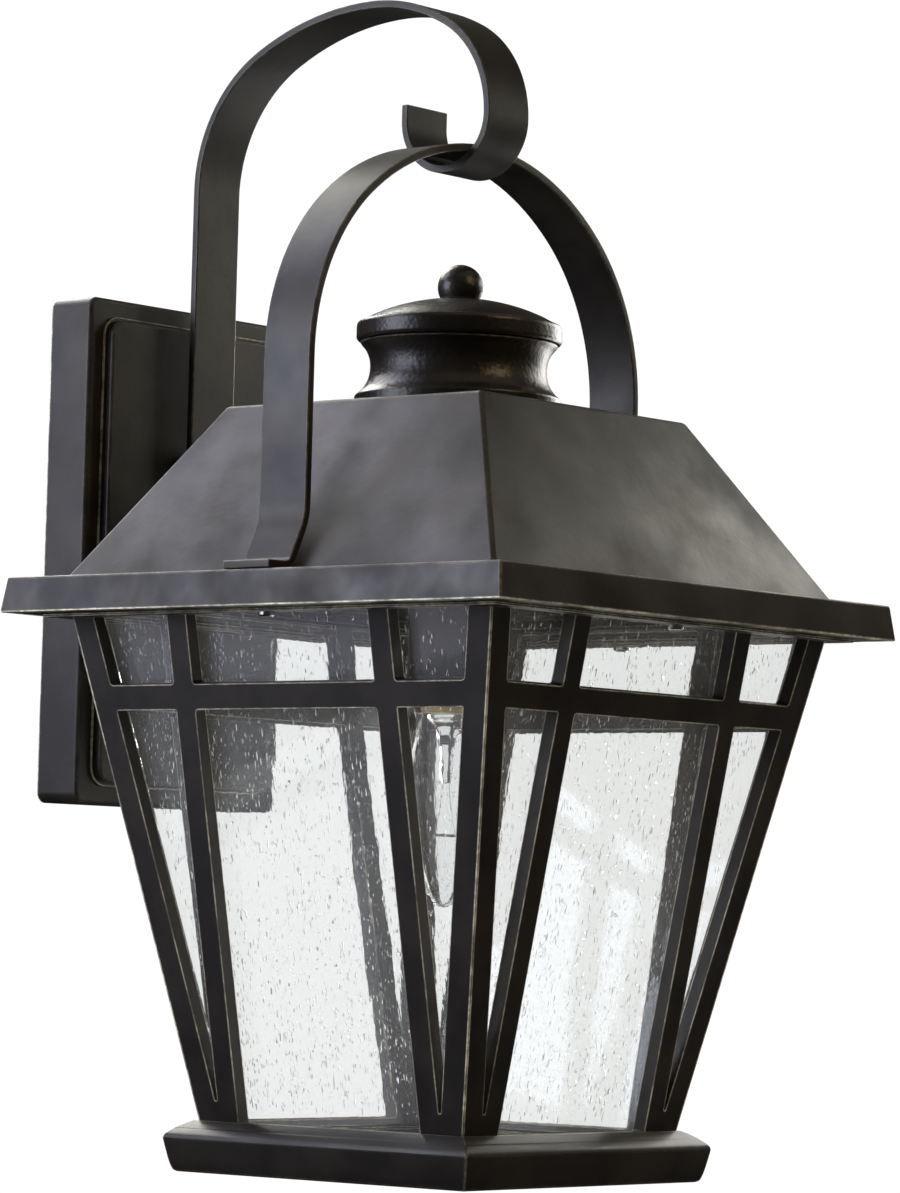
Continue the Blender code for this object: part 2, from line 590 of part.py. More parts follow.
def cage_frame(turn):
    bm = bmesh.new()
    ease = 0.6 * MM
    mitre = 0.15 * MM
    corners = ((-1, CAGE_FOOT_Z), (1, CAGE_FOOT_Z), (1, CAGE_TOP_Z), (-1, CAGE_TOP_Z))
    outer = []
    for depth, back_off in ((0.0, mitre + 0.45 * MM), (0.45 * MM, mitre), (FRAME_D, mitre)):
        outer.append(add_loop(bm, [rim_point(s, z, depth, back_off, turn) for s, z in corners]))
    bridge_loops(bm, outer[0][0], outer[1][0])
    bridge_loops(bm, outer[1][0], outer[2][0])
    front = list(outer[0][1])
    back = list(outer[2][1])
    for points, radius in cage_windows():
        wide = round_polygon(offset_polygon(points, ease), radius + ease)
        true = round_polygon(points, radius)
        loops = []
        for pts, depth in ((wide, 0.0), (true, ease), (true, FRAME_D)):
            loops.append(add_loop(bm, [face_point(t, z, depth, turn) for t, z in pts]))
        bridge_loops(bm, loops[0][0], loops[1][0])
        bridge_loops(bm, loops[1][0], loops[2][0])
        front += loops[0][1]
        back += loops[2][1]
    bmesh.ops.triangle_fill(bm, use_beauty=True, edges=front)
    bmesh.ops.triangle_fill(bm, use_beauty=True, edges=back)
    return bm


def glass_pane(turn):
    bm = bmesh.new()
    rings = []
    for depth in (FRAME_D + GAP, FRAME_D + GAP + GLASS_T):
        rings.append([rim_point(s, z, depth, 0.5 * MM, turn)
                      for s, z in ((-1, -214.6 * MM), (1, -214.6 * MM), (1, -9 * MM), (-1, -9 * MM))])
    skin_rings(bm, rings)
    return bm


def build_cage():
    place = (0, AXIS_Y, EAVE_Z)
    for k, side in enumerate(("front", "right", "back", "left")):
        turn = Matrix.Rotation(math.radians(90 * k), 3, "Z")
        finish("cage_frame_" + side, cage_frame(turn), BRONZE, 0.42, 0.55, place)
        finish("glass_" + side, glass_pane(turn), CLEAR, 0.06, 0.0, place)

    r = 0.8 * MM
    low = -15.3 * MM
    high = -14.3 * MM
    inner = cage_half(high) + 0.3 * MM
    outer = inner + 8 * MM
    flange = finish("cage_flange", square_turn([(outer, low, r), (outer, high, r), (inner, high, r),
                                                (inner, low, r)]), BRONZE, 0.42, 0.55, place)
    screw = [(0, 0), (2.6 * MM, 0), (3.1 * MM, 0.6 * MM), (3.1 * MM, 1.7 * MM), (1.5 * MM, 1.7 * MM),
             (1.5 * MM, 7.6 * MM), (0, 7.6 * MM)]
    for side, (x, y) in zip(("left", "right", "front", "back"), cage_screw_spots()):
        cut(flange, rod(1.5 * MM + GAP, 10 * MM), (x, y, EAVE_Z - 20 * MM))
        head = finish("cage_screw_" + side, turned(screw, 20), STEEL, 0.25, 1.0,
                      (x, y, EAVE_Z + low - GAP - 1.7 * MM), 35)
        slot = bmesh.new()
        bmesh.ops.create_cube(slot, size=1.0)
        bmesh.ops.scale(slot, verts=slot.verts, vec=(8 * MM, 0.8 * MM, 1.4 * MM))
        cut(head, slot, head.location)

    r = 1.0 * MM
    wall = cage_half(BASE_TOP_Z) + 0.5 * MM
    rings = [(58 * MM, -218.4 * MM), (58 * MM, -216.1 * MM), (wall, -216.1 * MM), (wall, BASE_TOP_Z + 0.1 * MM),
             (wall + 0.8 * MM, BASE_TOP_Z + 0.5 * MM), (70.6 * MM, -212.9 * MM), (73.2 * MM, -214.5 * MM),
             (75.5 * MM, -216.2 * MM), (76.8 * MM, -217.4 * MM), (BASE_EDGE, BASE_EDGE_Z - 0.5 * MM),
             (76.5 * MM, -223.0 * MM), (75.5 * MM, -227.6 * MM), (BASE_LOW, -230.4 * MM),
             (73.9 * MM, -231.5 * MM), (72.6 * MM, BASE_LOW_Z), (71.2 * MM, BASE_LOW_Z),
             (73.2 * MM, -224.0 * MM), (73.0 * MM, -221.0 * MM), (66 * MM, -220.2 * MM)]
    bm = bmesh.new()
    skin_rings(bm, [square_ring(h, z, r) for h, z in rings])
    finish("base_tray", bm, BRONZE, 0.42, 0.55, place)


clear_scene()
build_wall_side()
hook_z = build_arm()
foot_screw_x = build_bail(hook_z)
build_roof(foot_screw_x)
build_lamp()
build_cage()
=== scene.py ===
# %% [markdown]
# # An outdoor wall lantern with a hooked strap arm
# A tapered glass cage hangs under a hipped roof. A bail (a hoop of flat bar) carries the roof, and
# the bail rests in the curl of a hooked arm that is bolted to a wall plate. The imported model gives
# every size and every joint. This lesson builds finer pieces over it with ordinary mesh tools, gives
# each one a finish made of nodes, and lights it like a small product studio.

import json
import math
import random

import bpy
from mathutils import Matrix, Vector


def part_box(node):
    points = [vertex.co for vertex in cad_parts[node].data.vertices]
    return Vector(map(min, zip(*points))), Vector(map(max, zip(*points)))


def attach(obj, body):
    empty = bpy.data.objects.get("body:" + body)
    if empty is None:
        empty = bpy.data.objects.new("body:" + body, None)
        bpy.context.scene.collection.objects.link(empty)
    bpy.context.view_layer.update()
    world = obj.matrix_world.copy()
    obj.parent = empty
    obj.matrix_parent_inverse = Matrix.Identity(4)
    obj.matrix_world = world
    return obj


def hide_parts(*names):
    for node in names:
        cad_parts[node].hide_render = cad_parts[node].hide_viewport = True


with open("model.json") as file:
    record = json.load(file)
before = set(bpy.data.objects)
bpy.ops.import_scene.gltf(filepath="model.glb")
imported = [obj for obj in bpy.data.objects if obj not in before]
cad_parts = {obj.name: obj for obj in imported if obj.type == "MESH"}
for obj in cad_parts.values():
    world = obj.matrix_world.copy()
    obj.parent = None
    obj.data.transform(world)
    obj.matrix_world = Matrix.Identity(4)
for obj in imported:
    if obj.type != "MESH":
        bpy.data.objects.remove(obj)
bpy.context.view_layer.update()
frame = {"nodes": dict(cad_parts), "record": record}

# %% [markdown]
# The camera comes first, because it decides which surfaces matter. The eye is a little below the
# eave, off the lantern's left front corner, with a long lens that keeps the sides of the roof nearly
# parallel. Only its place and its three turns are named. The axes of its view follow from them.

# %% Camera
MM = 0.001
roof_low, roof_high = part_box("roof_shell")
AXIS_Y = (roof_low.y + roof_high.y) / 2
BAND_H = 14 * MM                         # height of the eave band
EAVE_Z = roof_low.z + BAND_H             # its top edge, which the heights below count from
EYE = Vector((-1.4802, AXIS_Y - 1.2184, EAVE_Z - 0.1330))
TURN, RISE, ROLL = math.radians(-50.51), math.radians(-3.91), math.radians(1.5)
SENSOR, FOCAL = 36, 192.8                # width and focal length of the long lens, in millimetres

back = Vector((math.sin(TURN) * math.cos(RISE), -math.cos(TURN) * math.cos(RISE), math.sin(RISE)))
level = Vector((math.cos(TURN), math.sin(TURN), 0))
upright = back.cross(level)
right = level * math.cos(ROLL) + upright * math.sin(ROLL)
up = upright * math.cos(ROLL) - level * math.sin(ROLL)
lens = bpy.data.cameras.new("studio_camera")
lens.sensor_fit = "HORIZONTAL"
lens.sensor_width = SENSOR
lens.lens = FOCAL
lens.clip_start = 0.05
camera = bpy.data.objects.new("studio_camera", lens)
bpy.context.scene.collection.objects.link(camera)
camera.matrix_world = Matrix.Translation(EYE) @ Matrix((right, up, back)).transposed().to_4x4()
bpy.context.scene.camera = camera
print("eye to lantern:", round((EYE - Vector((0, AXIS_Y, EAVE_Z))).length, 3), "m")

# %% [markdown]
# Every piece is made in the same four moves: stock, picking, shaping, finishing. An operator acts on
# everything that is selected, so the helpers below always let go of the last piece first. `pick`
# chooses corners, edges or faces by a rule about where they are, as a hand would with the mouse.

# %% Helpers: hold a piece, pick on it, finish it
def let_go():
    """Back to object mode with nothing selected."""
    if bpy.context.object and bpy.context.object.mode != "OBJECT":
        bpy.ops.object.mode_set(mode="OBJECT")
    bpy.ops.object.select_all(action="DESELECT")


def hold(piece):
    """Only this piece is selected and active."""
    let_go()
    piece.select_set(True)
    bpy.context.view_layer.objects.active = piece
    return piece


def stock(name, low, high):
    """A block between two corners, which a piece is cut from."""
    let_go()
    low, high = Vector(low), Vector(high)
    bpy.ops.mesh.primitive_cube_add(size=1, location=(low + high) / 2, scale=high - low)
    piece = bpy.context.object
    piece.name = piece.data.name = name
    bpy.ops.object.transform_apply(location=True, rotation=True, scale=True)
    return piece


def pick(piece, kind, rule):
    """Goes to edit mode and picks what obeys the rule, which sees a vertex's place, the two ends of an
    edge, or a face's centre and normal."""
    hold(piece)
    bpy.ops.object.mode_set(mode="EDIT")
    bpy.ops.mesh.select_mode(type=kind)
    bpy.ops.mesh.select_all(action="DESELECT")
    bpy.ops.object.mode_set(mode="OBJECT")
    mesh = piece.data
    if kind == "VERT":
        for item in mesh.vertices:
            item.select = rule(item.co)
    elif kind == "EDGE":
        for item in mesh.edges:
            item.select = rule(*(mesh.vertices[i].co for i in item.vertices))
    else:
        for item in mesh.polygons:
            item.select = rule(item.center, item.normal)
    bpy.ops.object.mode_set(mode="EDIT")


def work(piece, kind, **settings):
    """One modifier, set and applied at once."""
    hold(piece)
    tool = piece.modifiers.new(kind.lower(), kind)
    for key, value in settings.items():
        setattr(tool, key, value)
    bpy.ops.object.modifier_apply(modifier=tool.name)
    return piece


def soften(piece, width, segments=3, angle=30):
    """Rounds every edge sharper than the angle, as a file and a coat of paint would."""
    return work(piece, "BEVEL", width=width, segments=segments, limit_method="ANGLE",
                angle_limit=math.radians(angle), use_clamp_overlap=True)


def drill(piece, cutters):
    """Takes the cutters' shapes out of the piece, then clears the cutters away."""
    for cutter in cutters:
        work(piece, "BOOLEAN", operation="DIFFERENCE", solver="EXACT", object=cutter)
        bpy.data.objects.remove(cutter, do_unlink=True)
    return piece


def bit(radius, start, end, sides=48):
    """A round cutter between two points."""
    let_go()
    start, end = Vector(start), Vector(end)
    along = end - start
    bpy.ops.mesh.primitive_cylinder_add(vertices=sides, radius=radius, depth=along.length,
                                        location=(start + end) / 2,
                                        rotation=along.to_track_quat("Z", "Y").to_euler())
    return bpy.context.object


def enclosed(piece):
    """The signed volume: positive when the faces look outwards."""
    return sum(f.center.dot(f.normal) * f.area for f in piece.data.polygons) / 3


def clean(piece, angle=30):
    """Merges doubles, turns every face outwards and smooths all but the edges over the angle.

    Weighted normals then keep broad faces flat. With angle 0 nothing is smoothed.
    """
    hold(piece)
    bpy.ops.object.mode_set(mode="EDIT")
    bpy.ops.mesh.select_all(action="SELECT")
    bpy.ops.mesh.remove_doubles(threshold=2e-6)
    bpy.ops.mesh.normals_make_consistent(inside=False)
    bpy.ops.object.mode_set(mode="OBJECT")
    if enclosed(piece) < 0:
        bpy.ops.object.mode_set(mode="EDIT")
        bpy.ops.mesh.flip_normals()
        bpy.ops.object.mode_set(mode="OBJECT")
    bpy.ops.object.shade_smooth_by_angle(angle=math.radians(angle))
    if angle:
        work(piece, "WEIGHTED_NORMAL", keep_sharp=True)
    return piece


def place(piece, spot, turn=0.0):
    """Turns and moves a finished piece into place, and leaves its object at the origin, unturned."""
    hold(piece)
    piece.rotation_euler = (0, 0, turn)
    piece.location = spot
    bpy.ops.object.transform_apply(location=True, rotation=True, scale=True)
    return piece


LANTERN = (0, AXIS_Y, EAVE_Z)
print("lantern axis at", [round(v, 4) for v in LANTERN])

# %% [markdown]
# ## Finishes
# The metal is painted a dark oil-rubbed bronze: nearly black brown, satin, with the paint rubbed
# through to a pale gold on the outer edges. Rubbing happens only where a hand or a cloth reaches, so
# the wear mask must find outward edges and leave the inward corners alone. Ambient occlusion traced
# *inside* the metal does that: close to an outward edge the rays leave the body at once. Two noises
# break the line up, so it comes and goes along an edge as it does on a real casting.

# %% Node helpers
def tree_of(name):
    finish = bpy.data.materials.new(name)
    finish.use_nodes = True
    nodes = finish.node_tree.nodes
    return finish, nodes, finish.node_tree.links, nodes["Principled BSDF"]


def grain(nodes, links, scale, stretch=(1, 1, 1), detail=3.0, rough=0.55):
    """Noise on the piece's own coordinates in metres; scale counts blotches per metre."""
    spot = nodes.new("ShaderNodeTexCoord")
    frame_of = nodes.new("ShaderNodeMapping")
    frame_of.inputs["Scale"].default_value = stretch
    cloud = nodes.new("ShaderNodeTexNoise")
    cloud.inputs["Scale"].default_value = scale
    cloud.inputs["Detail"].default_value = detail
    cloud.inputs["Roughness"].default_value = rough
    links.new(spot.outputs["Object"], frame_of.inputs["Vector"])
    links.new(frame_of.outputs["Vector"], cloud.inputs["Vector"])
    return cloud.outputs["Fac"]


def rescale(nodes, links, value, low, high, to_low, to_high, smooth=False):
    stage = nodes.new("ShaderNodeMapRange")
    stage.interpolation_type = "SMOOTHSTEP" if smooth else "LINEAR"
    for key, number in (("From Min", low), ("From Max", high), ("To Min", to_low), ("To Max", to_high)):
        stage.inputs[key].default_value = number
    links.new(value, stage.inputs["Value"])
    return stage.outputs["Result"]


def times(nodes, links, a, b):
    stage = nodes.new("ShaderNodeMath")
    stage.operation = "MULTIPLY"
    links.new(a, stage.inputs[0])
    if isinstance(b, float):
        stage.inputs[1].default_value = b
    else:
        links.new(b, stage.inputs[1])
    return stage.outputs[0]


def blend_colour(nodes, links, factor, first, second):
    stage = nodes.new("ShaderNodeMix")
    stage.data_type = "RGBA"
    for socket, colour in ((stage.inputs["A"], first), (stage.inputs["B"], second)):
        if isinstance(colour, tuple):
            socket.default_value = (*colour, 1)
        else:
            links.new(colour, socket)
    links.new(factor, stage.inputs["Factor"])
    return stage.outputs["Result"]


def add_bump(nodes, links, shader, layers):
    """Stacks height layers (value, distance in metres) into one normal."""
    below = None
    for value, distance in layers:
        bump = nodes.new("ShaderNodeBump")
        bump.inputs["Distance"].default_value = distance
        links.new(value, bump.inputs["Height"])
        if below:
            links.new(below, bump.inputs["Normal"])
        below = bump.outputs["Normal"]
    links.new(below, shader.inputs["Normal"])


# %% Bronze paint, rubbed through on the edges
GOLD = (0.95, 0.87, 0.64)
BROWN = (0.020, 0.016, 0.013)
UMBER = (0.034, 0.027, 0.020)


def bronze(name, wear=0.8, reach=0.7 * MM, rough=(0.36, 0.50), mottle=38.0, dents=0.25 * MM, cast=0.0):
    """Oil-rubbed bronze paint.

    wear and reach say how much paint is rubbed off and how far from an edge, mottle and dents how the
    metal swells, and cast adds the fine pitted skin of a casting.
    """
    finish, nodes, links, shader = tree_of(name)
    broad = grain(nodes, links, mottle, detail=4)
    fine = grain(nodes, links, 420.0, detail=2)
    body = blend_colour(nodes, links, rescale(nodes, links, broad, 0.35, 0.65, 0, 1, True), BROWN, UMBER)
    edge = nodes.new("ShaderNodeAmbientOcclusion")
    edge.inside = True
    edge.only_local = True
    edge.samples = 6
    edge.inputs["Distance"].default_value = reach
    found = rescale(nodes, links, edge.outputs["AO"], 0.90, 0.70, 0.0, 1.0)
    patchy = rescale(nodes, links, grain(nodes, links, 70.0, detail=2), 0.34, 0.58, 0.35, 1.0, True)
    scratch = rescale(nodes, links, fine, 0.38, 0.62, 0.5, 1.0)
    rub = found
    for share in (patchy, scratch, wear):
        rub = times(nodes, links, rub, share)
    links.new(blend_colour(nodes, links, rub, body, GOLD), shader.inputs["Base Color"])
    shader.inputs["Metallic"].default_value = 0.35
    shader.inputs["Specular IOR Level"].default_value = 0.5
    cloudy = grain(nodes, links, 24.0, detail=5, rough=0.6)
    links.new(rescale(nodes, links, cloudy, 0.3, 0.7, *rough), shader.inputs["Roughness"])
    swell = grain(nodes, links, mottle * 0.6, detail=1)
    layers = [(swell, dents), (broad, 0.10 * MM), (fine, 0.04 * MM)]
    if cast:
        pits = nodes.new("ShaderNodeTexVoronoi")
        pits.inputs["Scale"].default_value = 520.0
        spot = nodes.new("ShaderNodeTexCoord")
        links.new(spot.outputs["Object"], pits.inputs["Vector"])
        layers.append((pits.outputs["Distance"], cast))
    add_bump(nodes, links, shader, layers)
    print("finish:", name)
    return finish


bronze_plate = bronze("bronze_plate", wear=1.0)
bronze_strap = bronze("bronze_strap", wear=0.95, reach=0.5 * MM, dents=0.4 * MM)
bronze_roof = bronze("bronze_roof", wear=1.0, reach=0.8 * MM, rough=(0.27, 0.60), mottle=30.0,
                     dents=1.1 * MM)
bronze_vent = bronze("bronze_vent", wear=0.22, rough=(0.26, 0.40), cast=0.10 * MM)
bronze_cage = bronze("bronze_cage", wear=1.0, reach=0.55 * MM)
bronze_base = bronze("bronze_base", wear=1.0, reach=0.7 * MM)
bronze_fitting = bronze("bronze_fitting", wear=0.4)

# %% [markdown]
# Plain metals, the lampholder's ceramic and the green earth screw use a lighter recipe: a base colour
# with a little cloud in it, a roughness that varies, and a fine bump. Zinc, brass and bright steel
# are fully metallic, so their colour is the colour of their reflections.

# %% Small hardware finishes
def plain(name, dark, light, metallic, rough, scale=160.0, bump=0.03 * MM):
    finish, nodes, links, shader = tree_of(name)
    cloud = grain(nodes, links, scale)
    mix = rescale(nodes, links, cloud, 0.35, 0.65, 0, 1)
    links.new(blend_colour(nodes, links, mix, dark, light), shader.inputs["Base Color"])
    links.new(rescale(nodes, links, cloud, 0.3, 0.7, *rough), shader.inputs["Roughness"])
    shader.inputs["Metallic"].default_value = metallic
    add_bump(nodes, links, shader, [(cloud, bump)])
    print("finish:", name)
    return finish


zinc_steel = plain("zinc_steel", (0.34, 0.33, 0.31), (0.55, 0.54, 0.52), 1.0, (0.28, 0.45))
bright_screw = plain("bright_screw", (0.55, 0.54, 0.52), (0.75, 0.74, 0.72), 1.0, (0.14, 0.24), 300.0)
bulb_brass = plain("bulb_brass", (0.32, 0.25, 0.14), (0.48, 0.39, 0.22), 1.0, (0.28, 0.44))
ceramic = plain("ceramic", (0.78, 0.75, 0.68), (0.88, 0.85, 0.79), 0.0, (0.30, 0.45), 60.0)
ground_green = plain("ground_green", (0.02, 0.16, 0.04), (0.04, 0.26, 0.07), 0.4, (0.30, 0.42))
filament_metal = plain("filament_metal", (0.16, 0.14, 0.12), (0.34, 0.30, 0.26), 1.0, (0.30, 0.45),
                       900.0)

# %% [markdown]
# Seeded glass is drawn out while it is soft, so its bubbles and ripples run one way, here up and
# down. The bubbles are real hollows in the pane, made further on; the material carries the ripple as
# a stretched bump. Their walls get a second, hazier glass, so that each one shows as a fleck. The
# bends of light are kept weaker than in real glass, which quiets the mirroring on thin panes. Light
# that goes straight to a lamp passes as if the glass weren't there, which keeps the shadows clean.

# %% Glass finishes
def glass(name, tint, layers, ior, haze):
    """layers: (scale, stretch, bump distance) of each ripple. haze is the share of light that scatters."""
    finish, nodes, links, shader = tree_of(name)
    shader.inputs["Base Color"].default_value = (*tint, 1)
    shader.inputs["Roughness"].default_value = 0.0
    shader.inputs["IOR"].default_value = ior
    shader.inputs["Transmission Weight"].default_value = 1.0 - haze
    waves = [(grain(nodes, links, scale, stretch, detail=2), far) for scale, stretch, far in layers]
    add_bump(nodes, links, shader, waves)
    clear = nodes.new("ShaderNodeBsdfTransparent")
    ray = nodes.new("ShaderNodeLightPath")
    either = nodes.new("ShaderNodeMath")
    either.operation = "MAXIMUM"
    links.new(ray.outputs["Is Shadow Ray"], either.inputs[0])
    links.new(ray.outputs["Is Diffuse Ray"], either.inputs[1])
    mix = nodes.new("ShaderNodeMixShader")
    links.new(either.outputs[0], mix.inputs["Fac"])
    links.new(shader.outputs["BSDF"], mix.inputs[1])
    links.new(clear.outputs["BSDF"], mix.inputs[2])
    links.new(mix.outputs["Shader"], nodes["Material Output"].inputs["Surface"])
    print("finish:", name)
    return finish


PANE_TINT = (0.965, 0.975, 0.97)
seeded_glass = glass("seeded_glass", PANE_TINT, ior=1.3, haze=0.055,
                     layers=[(60.0, (1, 1, 0.35), 0.10 * MM), (420.0, (1, 1, 0.22), 0.02 * MM)])
seed_skin = glass("seed_skin", PANE_TINT, ior=1.3, haze=0.42, layers=[(900.0, (1, 1, 0.3), 0.01 * MM)])
bulb_clear = glass("bulb_glass", (0.98, 0.985, 0.985), ior=1.13, haze=0.04,
                   layers=[(30.0, (1, 1, 1), 0.05 * MM)])

# %% [markdown]
# Screws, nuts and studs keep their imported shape, because they are small or hidden and a finish is all
# they need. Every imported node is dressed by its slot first. `take_over` then lets a finer piece stand
# for one of them, on the same body.

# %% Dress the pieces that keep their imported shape
FINISHES = {"zinc_steel": zinc_steel, "bright_screw": bright_screw, "bulb_brass": bulb_brass,
            "ceramic": ceramic, "ground_green": ground_green, "bronze_plate": bronze_plate,
            "bronze_strap": bronze_strap, "bronze_roof": bronze_roof, "bronze_vent": bronze_vent,
            "bronze_cage": bronze_cage, "bronze_base": bronze_base, "bronze_fitting": bronze_fitting,
            "seeded_glass": seeded_glass, "bulb_glass": bulb_clear}
SLOTS = {part["node"]: part["material_slot"] for part in frame["record"]["subparts"]}
BODIES = {node: body for body, nodes in frame["record"]["behaviour"]["bodies"].items() for node in nodes}
for name, slot_name in SLOTS.items():
    node = frame["nodes"][name]
    node.data.materials.clear()
    node.data.materials.append(FINISHES[slot_name])
print("dressed", len(frame["nodes"]), "packed nodes")


def take_over(piece, node):
    """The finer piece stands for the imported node: same finish slot, same body."""
    piece.data.materials.clear()
    piece.data.materials.append(FINISHES[SLOTS[node]])
    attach(piece, BODIES[node])
    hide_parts(node)
    print(piece.name, "on", BODIES[node], "with", len(piece.data.polygons), "faces")


# %% [markdown]
# ## Wall plate
# A pressed pan that covers the wiring box. The stock is a block the size of the pan. Its four corners
# are rounded first, with a bevel of the edges that run towards the wall, then the front rim gets its
# tighter press radius. Deleting the back face and thickening the skin inwards makes it a pan.

# %% Wall plate
plate_low, plate_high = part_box("wall_plate")
PLATE_SHEET = 1.4 * MM
CLEAR = 0.3 * MM                         # room round a stud or a tube in its hole


def runs_to_wall(a, b):
    return abs(a.x - b.x) + abs(a.z - b.z) < 1e-6


def pressed(name, low, high, corner, rim):
    """A block with rounded corners and a rounded front rim."""
    piece = stock(name, low, high)
    pick(piece, "EDGE", runs_to_wall)
    bpy.ops.mesh.bevel(offset=corner, segments=8, affect="EDGES")
    front = low[1]
    pick(piece, "EDGE", lambda a, b: abs(a.y - front) < 1e-6 and abs(b.y - front) < 1e-6)
    bpy.ops.mesh.bevel(offset=rim, segments=5, affect="EDGES")
    return piece


plate = pressed("wall_plate_skin", plate_low, plate_high, corner=4.5 * MM, rim=1.8 * MM)
pick(plate, "FACE", lambda c, n: n.y > 0.99)
bpy.ops.mesh.delete(type="FACE")
work(plate, "SOLIDIFY", thickness=PLATE_SHEET, offset=-1, use_even_offset=True)

stud_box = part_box("stud_right")
STUD_X = (stud_box[0].x + stud_box[1].x) / 2
STUD_HOLE = (stud_box[1].x - stud_box[0].x) / 2 + CLEAR
tube_low, tube_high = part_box("arm_tube")
TUBE_Z = (tube_low.z + tube_high.z) / 2
TUBE_HOLE = (tube_high.z - tube_low.z) / 2 + CLEAR
screw_low, screw_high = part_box("strap_screw")
SCREW_Z = (screw_low.z + screw_high.z) / 2


def wall_holes(near, far):
    """Cutters for the two studs, the wiring tube and the arm's own screw."""
    spots = [(STUD_X, 0, STUD_HOLE), (-STUD_X, 0, STUD_HOLE), (0, TUBE_Z, TUBE_HOLE),
             (0, SCREW_Z, STUD_HOLE)]
    return [bit(radius, (x, near, z), (x, far, z)) for x, z, radius in spots]


drill(plate, wall_holes(plate_low.y - 5 * MM, plate_high.y - 12 * MM))
take_over(clean(plate), "wall_plate")

# %% [markdown]
# The raised panel is a second, shallower pan laid on the first. It stands on a narrow flange, so the
# eye sees a dark step round it. Insetting the front of a thin rounded slab leaves that flange, and
# extruding the inner face raises the panel.

# %% Raised panel
panel_low, panel_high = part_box("plate_panel")
FLANGE, FLANGE_T = 1.6 * MM, 0.9 * MM
PANEL_CORNER, PANEL_RIM = 6.5 * MM, 1.1 * MM
FRONT_T, SIDE_T = 1.2 * MM, 2.8 * MM     # metal left in front of and beside the hollow
panel_back = panel_high.y
panel = stock("plate_panel_skin", (panel_low.x, panel_back - FLANGE_T, panel_low.z), panel_high)
pick(panel, "EDGE", runs_to_wall)
bpy.ops.mesh.bevel(offset=PANEL_CORNER + FLANGE, segments=8, affect="EDGES")
pick(panel, "FACE", lambda c, n: n.y < -0.99)
bpy.ops.mesh.inset(thickness=FLANGE)
lift = panel_low.y - panel_back + FLANGE_T
bpy.ops.mesh.extrude_region_move(TRANSFORM_OT_translate={"value": (0, lift, 0)})
pick(panel, "EDGE", lambda a, b: abs(a.y - panel_low.y) < 1e-6 and abs(b.y - panel_low.y) < 1e-6)
bpy.ops.mesh.bevel(offset=PANEL_RIM, segments=4, affect="EDGES")
hollow = stock("hollow", (panel_low.x + SIDE_T, panel_low.y + FRONT_T, panel_low.z + SIDE_T),
               (panel_high.x - SIDE_T, panel_back + 5 * MM, panel_high.z - SIDE_T))
pick(hollow, "EDGE", runs_to_wall)
bpy.ops.mesh.bevel(offset=5.3 * MM, segments=8, affect="EDGES")
let_go()
drill(panel, [hollow] + wall_holes(panel_low.y - 5 * MM, panel_back + 5 * MM))
take_over(clean(panel), "plate_panel")

# %% [markdown]
# ## Flat bar, bent
# The arm is one length of flat bar. A smith bends it round formers of different radii, and the spin
# operator does the same: the end face is picked and swung about the former's centre. `Bar` remembers
# where the end of the bar is and which way it points, so each bend is one line.

# %% A bar that remembers its end
class Bar:
    """Flat bar growing in one plane. The plane's axes are p and q; heading turns from p towards q."""

    def __init__(self, name, foot, heading, length, width, thick, p, q):
        self.p, self.q = Vector(p), Vector(q)
        self.heading = heading
        self.end = Vector(foot)
        along, side, across = self.way(), self.side(), self.p.cross(self.q)
        middle = self.end + along * length / 2
        half = Vector([abs(along[i]) * length / 2 + abs(side[i]) * thick / 2 + abs(across[i]) * width / 2
                       for i in range(3)])
        self.piece = stock(name, middle - half, middle + half)
        self.end += along * length
        pick(self.piece, "FACE", lambda c, n: n.dot(along) > 0.99)

    def way(self):
        return self.p * math.cos(self.heading) + self.q * math.sin(self.heading)

    def side(self):
        return self.q * math.cos(self.heading) - self.p * math.sin(self.heading)

    def run(self, length):
        step = self.way() * length
        bpy.ops.mesh.extrude_region_move(TRANSFORM_OT_translate={"value": step})
        self.end += step

    def bend(self, radius, degrees):
        """Swings the end face; the radius is to the middle of the bar's thickness."""
        turn = math.radians(degrees)
        centre = self.end + self.side() * math.copysign(radius, turn)
        steps = max(4, round(abs(degrees) / 2.5))
        bpy.ops.mesh.spin(steps=steps, angle=-turn, center=centre, axis=self.p.cross(self.q))
        arm = self.end - centre
        swing = Matrix.Rotation(turn, 3, self.p.cross(self.q))
        self.end = centre + swing @ arm
        self.heading += turn


# %% [markdown]
# The arm's upright run goes straight up the wall plate. Four bends, flatter in the middle than at the
# ends, carry it over the roof, and a half turn curls it into the hook. Each radius is the former's,
# to the inside of the bar, so half the bar's thickness is added to it.

# %% Hooked arm
arm_low, arm_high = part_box("arm_strap")
BAR_T = 3.2 * MM
ARM_W = arm_high.x - arm_low.x
ARM_TURN_Z = EAVE_Z + 169.5 * MM         # where the upright run starts to curve forwards
ARM_BENDS = ((60.0, 62), (125.0, 28), (81.3, 28), (43.0, 62))
CURL_R = 19.6 * MM                       # inside of the hook that holds the bail
HOOK_TIP = 6.5 * MM
BAR_EDGE = 0.55 * MM                     # how far the bar's edges are eased
bar = Bar("arm_strap_bar", (0, arm_high.y - BAR_T / 2, arm_low.z), math.pi / 2, ARM_TURN_Z - arm_low.z,
          ARM_W, BAR_T, (0, 1, 0), (0, 0, 1))
for radius, degrees in ARM_BENDS:
    bar.bend(radius * MM + BAR_T / 2, degrees)
bar.bend(CURL_R + BAR_T / 2, 180)
bar.run(HOOK_TIP)
arm = soften(bar.piece, BAR_EDGE, 3, 50)
front_of_arm = arm_high.y - BAR_T
drill(arm, [bit(radius, (0, front_of_arm - 3 * MM, z), (0, arm_high.y + 3 * MM, z))
            for radius, z in ((TUBE_HOLE, TUBE_Z), (STUD_HOLE, SCREW_Z))])
take_over(clean(arm), "arm_strap")
